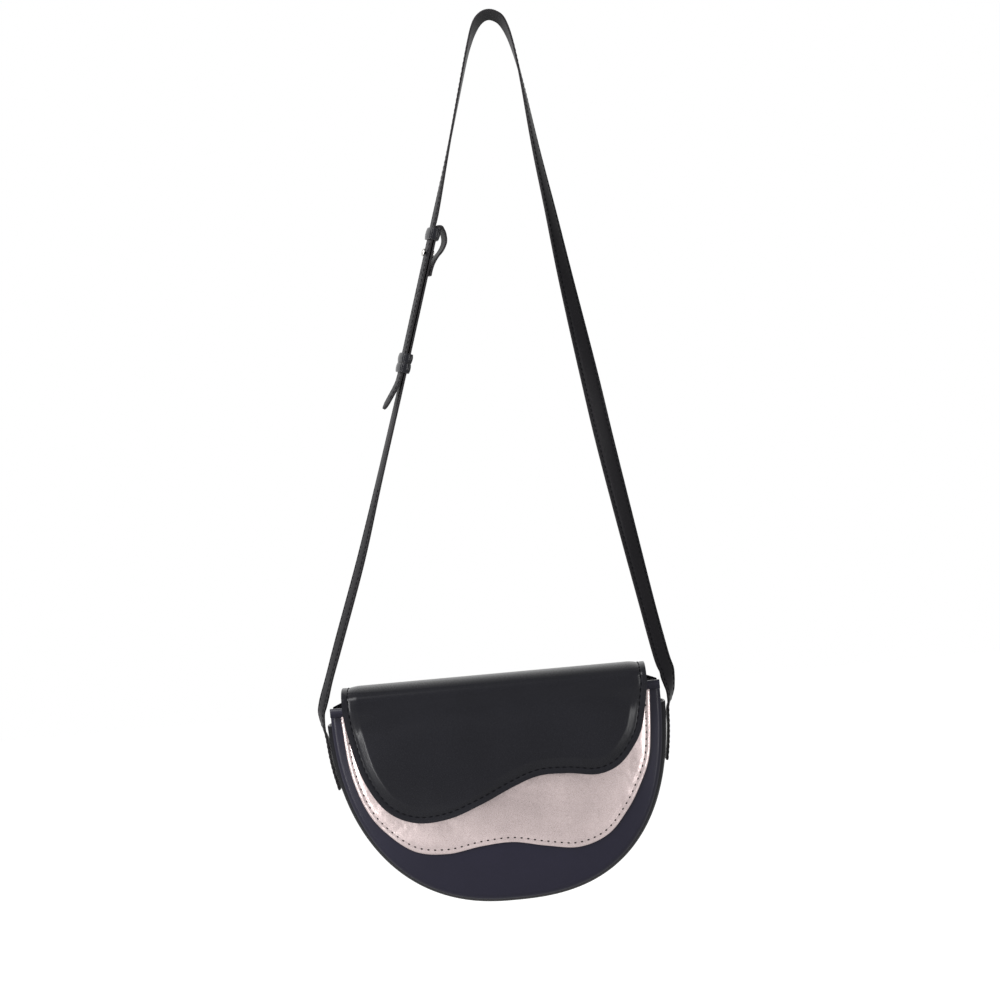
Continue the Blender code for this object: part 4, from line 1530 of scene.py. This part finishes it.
    def back_seam(self) -> list[Vector]:
        """Follow the seam down one side of the yoke, along its foot and up the other.

        Returns:
            The points.
        """
        form, side, foot = self.form, self.half_width - self.seam_inset, self.seam_foot
        rows = [[self.back_track(sign * side, foot + (1 - foot) * k / 39,
                                 self.seam_groove * 0.4, -self.yoke_drop) for k in range(40)]
                for sign in (-1, 1)]
        up = -self.yoke_drop + self.seam_inset
        y = form.back_seam(up) + form.clearance + self.leather + self.thread_lift
        across = [form.point(-side + 2 * side * k / 60, y, up) for k in range(61)]
        return rows[0][::-1] + across + rows[1]

    def stitches(self) -> None:
        """Sew along the wavy edge, up the sides and round the yoke."""
        thread = self.finishes.black_thread
        points, normals = zip(*self.front_seam())
        self.bend_front(Piece("flap_front_stitches", self.sewing.run(points, normals), thread,
                              Slot.BLACK).build())
        path = self.back_seam()
        self.bend_back(Piece("flap_back_stitches",
                             self.sewing.run(path, [Vector((0, 1, 0.3))] * len(path)), thread,
                             Slot.BLACK).build())

    def build(self) -> None:
        """Make every piece of the flap."""
        self.front_leather()
        self.back_leather()
        self.linings()
        self.stitches()


# Metal fittings


def turned(profile: Sequence[tuple[float, float]], axis: Matrix, sides: int = 48
           ) -> bmesh.types.BMesh:
    """Turn a profile of radius and height about an axis.

    Args:
        profile: From one end to the other, starting and ending on the axis.
        axis: Places the turned body, with its +Z as the axis.
        sides: Steps of the spin.

    Returns:
        The closed mesh.
    """
    bm = bmesh.new()
    verts = [bm.verts.new((radius, 0.0, height)) for radius, height in profile]
    edges = [bm.edges.new(pair) for pair in zip(verts, verts[1:])]
    bmesh.ops.spin(bm, geom=verts + edges, cent=(0, 0, 0), axis=(0, 0, 1), dvec=(0, 0, 0),
                   angle=2 * math.pi, steps=sides, use_merge=True, use_duplicate=False)
    bmesh.ops.remove_doubles(bm, verts=bm.verts, dist=0.000005)
    bmesh.ops.transform(bm, matrix=axis, verts=bm.verts)
    bmesh.ops.recalc_face_normals(bm, faces=bm.faces)
    return bm


@dataclass
class MagneticSnap:
    """Both halves of the snap under the flap."""

    form: BagForm
    finishes: Finishes
    place: tuple[float, float] = (-0.030015, -0.051993)
    radius: float = 0.0072
    rim: float = 0.0025
    bore: float = 0.0042
    bore_depth: float = 0.0013
    plate: float = 0.0010
    nub_radius: float = 0.0030
    nub_height: float = 0.0010
    edge: float = 0.0003
    shoulder: float = 0.0007
    shoulder_bow: float = 0.0002

    def axis(self) -> Matrix:
        """Place the snap's axis.

        Returns:
            The placement, with +Z out of the bag.
        """
        form, step = self.form, self.radius
        across, up = self.place
        left, right = (form.wave_face(across + k * step, up) for k in (-1, 1))
        below, above = (form.wave_face(across, up + k * step) for k in (-1, 1))
        tilt = Vector(((right - left) / (2 * step), -1, (above - below) / (2 * step)))
        turn = tilt.normalized().to_track_quat("Z", "Y").to_matrix().to_4x4()
        return Matrix.Translation(form.point(across, form.wave_face(across, up), up)) @ turn

    def socket(self) -> None:
        """Make the socket, with its rounded rim and its bore."""
        low, rim, r, b, edge = self.form.clearance, self.rim, self.radius, self.bore, self.edge
        profile = [(0, low), (r, low), (r, rim - self.shoulder),
                   (r - self.shoulder_bow, rim - edge), (r - self.shoulder, rim),
                   (b + edge, rim), (b, rim - edge), (b, rim - self.bore_depth),
                   (0, rim - self.bore_depth)]
        Piece("magnet_socket", turned(profile, self.axis()), self.finishes.metal, Slot.METAL,
              Body.BAG, ("snap_socket",)).build()

    def stud(self) -> None:
        """Make the stud on the flap's lining."""
        face, r, n, edge = self.rim + self.form.clearance, self.radius, self.nub_radius, self.edge
        nub, top = face - self.nub_height, face + self.plate
        profile = [(0, nub), (n - edge, nub), (n, nub + edge), (n, face), (r - edge, face),
                   (r, face + edge), (r, top), (0, top)]
        Piece("magnet_stud", turned(profile, self.axis()), self.finishes.metal, Slot.METAL,
              Body.FLAP_FACE, ("snap_stud",)).build()

    def build(self) -> None:
        """Make both halves, and dress the washers that the leather hides."""
        self.socket()
        self.stud()
        for node in ("snap_socket_washer", "snap_stud_washer"):
            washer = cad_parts[node]
            washer.data.materials.clear()
            washer.data.materials.append(self.finishes.metal)


# Strap

Frame = tuple[Vector, Vector, Vector]


@dataclass
class Strap:
    """The long strap, the short strap and the adjuster that joins them."""

    form: BagForm
    finishes: Finishes
    width: float = 0.014
    thickness: float = 0.0020
    crown: float = 0.00035
    sewn_top: float = 0.020
    sewn_length: float = 0.034
    hole_radius: float = 0.0011
    hole_pitch: float = 0.014
    holes_below_stud: int = 3
    sleeve_leather: float = 0.0012
    loop_height: float = 0.008
    loop_above_stud: float = 0.0135
    keeper_height: float = 0.0065
    fold_sweep_degrees: float = 150.0
    bow_reach: float = 0.0055
    stud_share: float = 0.780
    keeper_share: float = 0.212
    tail_beyond: float = 0.0240
    tail_swing: float = 0.0060
    seam_inset: float = 0.0019
    seam_groove: float = 0.00022
    seam_width: float = 0.0006
    sewing: Sewing = Sewing(0.0036, 0.0024, 0.0006, 0.00045)
    edge_round: float = 0.00045
    sleeve_round: float = 0.0003
    sleeve_corner: float = 0.0004
    sleeve_crown: float = 0.0005
    hang_from: float = 0.030
    hang_to: float = -0.014
    least_tail_share: float = 0.02
    edge_crowding: float = 0.28
    tail_middle: tuple[float, float] = (0.33, 0.2)
    columns: int = 18
    sleeve_grid: Grid = (64, 12)
    sleeve_bulge: float = 1.12
    sleeve_edge: float = 0.42
    hole_sides: int = 24
    neck_radius: float = 0.0009
    neck_height: float = 0.0004
    head_radius: float = 0.0027
    head_rise: float = 0.0012
    head_from: float = 0.12
    head_steps: int = 14
    screw_radius: float = 0.0030
    screw_height: float = 0.0008
    screw_edge: float = 0.0003
    screw_dent: float = 0.0006
    top_roll: float = -17.0
    adjuster_foot: int = 9
    steps: int = 10
    bow_shares: Shares = (
        (0.87, 0.676), (0.56, 1.0), (0.225, 0.82), (-0.056, 0.387), (-0.315, 0.117),
        (-0.59, 0.0), (-0.843, 0.0),
    )
    left_leg_shares: Sequence[tuple[float, float, float]] = (
        (-0.0093, 0.0131, 7), (-0.0152, 0.0255, 14), (-0.0165, 0.0378, 20), (-0.0080, 0.0481, 24),
        (0.0049, 0.0605, 25), (0.0334, 0.0867, 22), (0.0936, 0.1392, 24), (0.2192, 0.2480, 23),
        (0.3338, 0.3588, 16), (0.4250, 0.4540, 14), (0.7030, 0.7320, 14), (0.7708, 0.8142, 4),
        (0.8271, 0.8772, 0), (0.8828, 0.9390, -3), (0.9087, 0.9642, -7), (0.9294, 0.9802, -12),
        (0.9501, 0.9911, -16), (0.9741, 0.9977, -17),
    )
    right_leg_shares: Sequence[tuple[float, float, float]] = (
        (-0.0232, 0.0131, 12), (-0.0358, 0.0255, 24), (-0.0320, 0.0368, 35), (-0.0257, 0.0461, 43),
        (-0.0207, 0.0554, 46), (0.0045, 0.0688, 49), (0.0397, 0.0982, 50), (0.1014, 0.1561, 50),
        (0.2185, 0.2711, 58), (0.3305, 0.3858, 64), (0.4097, 0.4757, 62), (0.5356, 0.6166, 45),
        (0.6174, 0.7173, 31), (0.6904, 0.8032, 20), (0.7521, 0.8892, 8), (0.7898, 0.9320, 0),
        (0.8225, 0.9600, -6), (0.8565, 0.9788, -11), (0.8968, 0.9916, -16), (0.9484, 0.9979, -17),
    )

    def sewn_rows(self, sign: int) -> list[tuple[float, ...]]:
        """Give rows along the end that is sewn to the gusset, from its foot up.

        Args:
            sign: -1 for the left side of the bag and 1 for the right.

        Returns:
            Rows of x, y, z and roll.
        """
        form, rows = self.form, []
        power = form.outline_power(sign)
        for k in range(4):
            up = -self.sewn_top - self.sewn_length * (3 - k) / 3
            across = sign * form.half_width * (1 - (-up / form.height) ** power) ** (1 / power)
            side, rise = form.outline_normal(across, up)
            reach = form.gusset_bulge + 2 * form.clearance + self.thickness / 2
            place = form.point(across + side * reach, 0.0, up + rise * reach)
            rows.append((*place, 0.0))
        return rows

    def leg_rows(self, sign: int) -> list[tuple[float, ...]]:
        """Give rows along the free part of a leg, from above its shoulder.

        Args:
            sign: -1 for the left leg and 1 for the right.

        Returns:
            Rows of x, y, z and roll.
        """
        shares = self.left_leg_shares if sign < 0 else self.right_leg_shares
        shoulder = Vector(self.sewn_rows(sign)[-1][:3])
        top = Vector((0.0, 0.0, self.thickness / 2))
        return [(shoulder.x + (top.x - shoulder.x) * across, 0.0,
                 shoulder.z + (top.z - shoulder.z) * up, roll) for across, up, roll in shares]

    def adjuster(self) -> tuple[Vector, Vector, Vector, float]:
        """Find the doubled strap.

        Returns:
            Its foot, the unit vector up it, its outward side and its length.
        """
        rows = self.leg_rows(-1)
        foot = Vector(rows[self.adjuster_foot][:3])
        head = Vector(rows[self.adjuster_foot + 1][:3])
        along = (head - foot).normalized()
        roll = math.radians(rows[self.adjuster_foot][3])
        outward = Vector((-along.z, 0, along.x)) * math.cos(roll) + Vector(
            (0, -1, 0)) * math.sin(roll)
        return foot, along, outward, (head - foot).length

    def pitch(self) -> float:
        """Give the way from the middle of one layer to the next."""
        return self.thickness + self.form.clearance

    def row(self, distance: float, lift: float) -> tuple[float, ...]:
        """Give a row on the doubled strap.

        Args:
            distance: How far up it.
            lift: How far outwards from its middle.

        Returns:
            Its x, y, z and roll.
        """
        foot, along, outward, _ = self.adjuster()
        return (*(foot + along * distance + outward * lift),
                self.left_leg_shares[self.adjuster_foot][2])

    def stud_distance(self) -> float:
        """Give how far the stud is up the doubled strap."""
        return self.adjuster()[3] * self.stud_share

    def keeper_distance(self, number: int) -> float:
        """Give how far a keeper's middle is up the doubled strap."""
        return (self.adjuster()[3] * self.keeper_share
                + number * (self.keeper_height + self.form.clearance))

    def sleeve_depth(self) -> float:
        """Give the room inside a sleeve, through both layers."""
        return 2 * self.pitch() + self.form.clearance

    def fold_height(self) -> float:
        """Give how far over the stud the short strap starts to fold."""
        return self.loop_above_stud + self.loop_height / 2 + self.form.clearance

    def frames(self, rows: Sequence[Sequence[float]]) -> list[Frame]:
        """Follow rows of x, y, z and roll.

        Args:
            rows: The rows.

        Returns:
            Place, side and outward direction at each step.
        """
        fine, found = spline(rows, self.steps), []
        for k, row in enumerate(fine):
            after, before = fine[min(k + 1, len(fine) - 1)], fine[max(k - 1, 0)]
            run = Vector((after[0] - before[0], 0, after[2] - before[2])).normalized()
            outward, forward = Vector((-run.z, 0, run.x)), Vector((0, -1, 0))
            cosine, sine = math.cos(math.radians(row[3])), math.sin(math.radians(row[3]))
            found.append((Vector(row[:3]), forward * cosine - outward * sine,
                          outward * cosine + forward * sine))
        return found

    def flat_frames(self, path: Sequence[tuple[float, float]]) -> list[Frame]:
        """Follow a path in the plane of the doubled strap.

        Args:
            path: Distance up the strap and lift off its middle.

        Returns:
            Place, side and outward direction at each step.
        """
        foot, along, outward, _ = self.adjuster()
        side, found = along.cross(outward), []
        for k, (distance, lift) in enumerate(path):
            before, after = path[max(k - 1, 0)], path[min(k + 1, len(path) - 1)]
            run = Vector((after[0] - before[0], after[1] - before[1])).normalized()
            found.append((foot + along * distance + outward * lift, side,
                          outward * run.x - along * run.y))
        return found

    def ribbon(self, frames: Sequence[Frame], round_end: int = 0) -> bmesh.types.BMesh:
        """Make a strap along its frames, crowned and grooved along its seams.

        Args:
            frames: Place, side and outward direction at each step.
            round_end: Number of frames over which the last end is rounded off.

        Returns:
            The closed mesh.
        """
        last = len(frames) - 1
        seam = self.width / 2 - self.seam_inset

        def spread(u: float) -> float:
            """Crowd the columns towards both edges."""
            turn, crowd = math.cos(math.pi * u), self.edge_crowding
            return 0.5 - 0.5 * turn * (1 - crowd + crowd * abs(turn))

        def place(u: float, v: float, w: float) -> Vector:
            """Find a point of the strap.

            Args:
                u: From 0 at one edge to 1 at the other.
                v: From 0 at the first frame to 1 at the last.
                w: 0 on the crowned face and 1 on the flat one.

            Returns:
                The point.
            """
            spot, side, out = frames[round(v * last)]
            reach = (2 * u - 1) * self.width / 2
            if round_end:
                left = (last - round(v * last)) / round_end
                if left < 1:
                    reach *= math.sqrt(max(1 - (1 - left) ** 2, self.least_tail_share))
            rise = self.crown * (1 - (2 * u - 1) ** 2)
            rise -= self.seam_groove * math.exp(-((abs(reach) - seam) / self.seam_width) ** 2)
            half = self.thickness / 2 - self.crown
            return spot + side * reach + out * ((half + rise) if w < 0.5 else -half)

        return block(self.columns, last, place, across=spread)

    def seam(self, frames: Sequence[Frame], first: int, last: int) -> list[bmesh.types.BMesh]:
        """Sew along both edges of a strap.

        Args:
            frames: The strap's frames.
            first: The first frame that is sewn.
            last: The last frame that is sewn.

        Returns:
            One mesh for each edge.
        """
        reach, rows = self.width / 2 - self.seam_inset, []
        lift = self.thickness / 2 - self.seam_groove
        for sign in (-1, 1):
            points = [spot + side * (sign * reach) + out * lift
                      for spot, side, out in frames[first:last]]
            rows.append(self.sewing.run(points, [out for _, _, out in frames[first:last]]))
        return rows

    def long_frames(self) -> list[Frame]:
        """Follow the long strap.

        Returns:
            Its frames, from the free tail over the top to the sewn right end.
        """
        out = self.pitch() / 2
        right = self.sewn_rows(1) + self.leg_rows(1)
        top = [(0.0, 0.0, self.thickness / 2, self.top_roll)]
        left = self.leg_rows(-1)[self.adjuster_foot + 2:]
        stud, low = self.stud_distance(), self.keeper_distance(0) - self.keeper_height
        doubled = [self.row(self.adjuster()[3], out), self.row(stud + self.fold_height(), out),
                   self.row(stud, out), self.row((stud + low) / 2, out),
                   self.row(low + 2 * self.keeper_height, out), self.row(low, out)]
        beyond, swing = self.tail_middle
        tail = [self.row(low - self.tail_beyond * beyond, out + self.tail_swing * swing),
                self.row(low - self.tail_beyond, out + self.tail_swing)]
        return self.frames((right + top + left[::-1] + doubled + tail)[::-1])

    def short_frames(self) -> list[Frame]:
        """Follow the short strap.

        Returns:
            Its frames, from the sewn left end round its fold and down its bow.
        """
        inward, stud = -self.pitch() / 2, self.stud_distance()
        entry = self.keeper_distance(0) - 2 * self.keeper_height
        rows = self.sewn_rows(-1) + self.leg_rows(-1)[:self.adjuster_foot]
        rows += [self.row(entry, inward), self.row((entry + stud) / 2, inward),
                 self.row(stud, inward)]
        outside = (self.sleeve_depth() / 2 + self.sleeve_leather + self.form.clearance
                   + self.thickness / 2)
        radius, start = (outside - self.pitch() / 2) / 2, stud + self.fold_height()
        path = [(stud + (start - stud) * k / 6, inward) for k in range(1, 6)]
        for k in range(17):
            angle = math.radians(self.fold_sweep_degrees) * k / 16
            path.append((start + radius * math.sin(angle), inward - radius * (1 - math.cos(angle))))
        second = inward - self.pitch()
        bow = [(stud + above * self.fold_height(), second - reach * self.bow_reach)
               for above, reach in self.bow_shares]
        path += [tuple(point) for point in spline([path[-1]] + bow, 8)[1:]]
        return self.frames(rows) + self.flat_frames(path)

    def hang(self, piece: bpy.types.Object, sign: int) -> None:
        """Bake a strap or its stitches into its mesh, without bending it.

        Args:
            piece: The strap or its stitches.
            sign: -1 for the left side of the bag and 1 for the right.
        """
        across = sign * self.form.half_width
        self.form.point(across, 0.0, self.hang_from)
        self.form.point(across, 0.0, self.hang_to)
        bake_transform(piece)

    def punch(self, piece: bpy.types.Object) -> None:
        """Punch the holes of the long strap.

        Args:
            piece: The strap.
        """
        turn = self.adjuster()[2].to_track_quat("Z", "Y").to_matrix().to_4x4()
        reach, radius = self.thickness, self.hole_radius
        for number in range(self.holes_below_stud + 1):
            spot = Vector(self.row(self.stud_distance() - number * self.hole_pitch,
                                   self.pitch() / 2)[:3])
            cutter = stand("punch", turned(
                [(0, -reach), (radius, -reach), (radius, reach), (0, reach)],
                Matrix.Translation(spot) @ turn, self.hole_sides))
            cut = piece.modifiers.new("hole", "BOOLEAN")
            cut.operation, cut.solver, cut.object = "DIFFERENCE", "EXACT", cutter
            bpy.context.view_layer.update()
            graph = bpy.context.evaluated_depsgraph_get()
            made = bpy.data.meshes.new_from_object(piece.evaluated_get(graph))
            piece.modifiers.remove(cut)
            piece.data = made
            bpy.data.objects.remove(cutter)

    def strap(self, name: str, mesh: bmesh.types.BMesh, seams: Sequence[bmesh.types.BMesh],
              sign: int) -> None:
        """Make one of the two straps and its stitches.

        Args:
            name: Its name, which is its node's as well.
            mesh: Its shape.
            seams: Its stitches along the back edge and along the front one.
            sign: -1 for the short strap on the left and 1 for the punched one on the right.
        """
        piece = Piece(f"{name}_leather", mesh, self.finishes.strap, Slot.BLACK, nodes=(name,),
                      edge_material=self.finishes.strap_edge).build()
        if sign > 0:
            self.punch(piece)
        round_edges(piece, self.edge_round)
        self.hang(piece, sign)
        for edge, seam in zip(("back", "front"), seams):
            self.hang(Piece(f"{name}_{edge}_stitches", seam, self.finishes.black_thread,
                            Slot.BLACK).build(), sign)

    def sleeve(self, distance: float, height: float) -> bmesh.types.BMesh:
        """Wrap a leather sleeve round the doubled strap.

        Args:
            distance: How far its middle is up the strap.
            height: Its height.

        Returns:
            The closed mesh.
        """
        foot, along, outward, _ = self.adjuster()
        side, middle = along.cross(outward), foot + along * distance
        wide, deep = self.width / 2 + self.form.clearance, self.sleeve_depth() / 2
        corner = self.sleeve_corner
        hearts = [side * (a * (wide - corner)) + outward * (b * (deep - corner))
                  for a, b in ((1, 1), (-1, 1), (-1, -1), (1, -1), (1, 1))]

        def place(u: float, v: float, w: float) -> Vector:
            """Find a point of the sleeve: a rounded corner and a flat side in each quarter.

            Args:
                u: From 0 to 1 round the sleeve.
                v: From 0 at its lower edge to 1 at its upper one.
                w: 0 on the outer face and 1 on the inner one.

            Returns:
                The point.
            """
            quarter = min(int(u * 4), 3)
            share = u * 4 - quarter
            angle = math.pi / 2 * (quarter + min(share / 0.5, 1.0))
            ray = side * math.cos(angle) + outward * math.sin(angle)
            bulge = self.sleeve_leather * (self.sleeve_bulge - self.sleeve_edge * (2 * v - 1) ** 2)
            radius = corner + (bulge if w < 0.5 else 0.0)
            spot = hearts[quarter] + ray * radius
            if share > 0.5:
                crown = self.sleeve_crown * (1 - (4 * share - 3) ** 2) if w < 0.5 else 0.0
                spot = spot.lerp(hearts[quarter + 1] + ray * radius, (share - 0.5) * 2)
                spot += ray * crown
            return middle + spot + along * ((v - 0.5) * height)

        return block(*self.sleeve_grid, place)

    def sleeves(self) -> None:
        """Make the loop keeper and the two keepers that slide."""
        loop, small = self.stud_distance() + self.loop_above_stud, self.keeper_height
        for node, distance, height, body in (
                ("loop_keeper", loop, self.loop_height, Body.STRAP),
                ("lower_keeper", self.keeper_distance(0), small, Body.LOWER_KEEPER),
                ("upper_keeper", self.keeper_distance(1), small, Body.UPPER_KEEPER)):
            # The keepers' cut edges take the light grey paint, a painted highlight along their
            # rounded edges.
            Piece(f"{node}_leather", self.sleeve(distance, height), self.finishes.black,
                  Slot.BLACK, body, (node,), self.sleeve_round,
                  self.finishes.keeper_edge_highlight).build()

    def stud(self) -> None:
        """Make the stud with its domed head, and the screw behind it."""
        spot = Vector(self.row(self.stud_distance(), 0.0)[:3])
        turn = self.adjuster()[2].to_track_quat("Z", "Y").to_matrix().to_4x4()
        axis, gap = Matrix.Translation(spot) @ turn, self.form.clearance
        face = self.pitch() / 2 + self.thickness / 2
        neck, start, steps = face + self.neck_height, self.head_from, self.head_steps
        profile = [(0, gap / 2), (self.neck_radius, gap / 2), (self.neck_radius, neck)]
        for k in range(1, steps + 1):
            angle = math.pi * (start + (1 - start) * k / steps)
            profile.append((max(self.head_radius * math.sin(angle), 0.0),
                            neck + self.head_rise * (1 - math.cos(angle))))
        profile[-1] = (0.0, profile[-1][1])
        low, top, r, edge, dent = (-face - gap - self.screw_height, -face - gap,
                                   self.screw_radius, self.screw_edge, self.screw_dent)
        back = [(0, low + edge), (dent, low + edge), (dent + edge, low), (r - edge, low),
                (r, low + edge), (r, top), (0, top)]
        for name, outline, node in (("adjuster_stud", profile, "strap_stud"),
                                    ("adjuster_screw", back, "stud_screw")):
            Piece(name, turned(outline, axis), self.finishes.metal, Slot.METAL, Body.STRAP,
                  (node,)).build()

    def build(self) -> None:
        """Make every piece of the strap."""
        long, short, end = self.long_frames(), self.short_frames(), self.steps // 2
        self.strap("long_strap", self.ribbon(long[::-1], round_end=end),
                   self.seam(long, end, len(long)), 1)
        self.strap("short_strap", self.ribbon(short),
                   self.seam(short, 0, self.steps * (3 + self.adjuster_foot)), -1)
        self.sleeves()
        self.stud()


def main() -> None:
    """Build the studio and the dressed bag."""
    logging.basicConfig(level=logging.INFO, format="%(name)s: %(message)s")
    form, finishes = BagForm(), Finishes()
    Studio().build()
    BagBody(form, finishes).build()
    Flap(form, finishes).build()
    MagneticSnap(form, finishes).build()
    Strap(form, finishes).build()


if __name__ == "__main__":
    main()
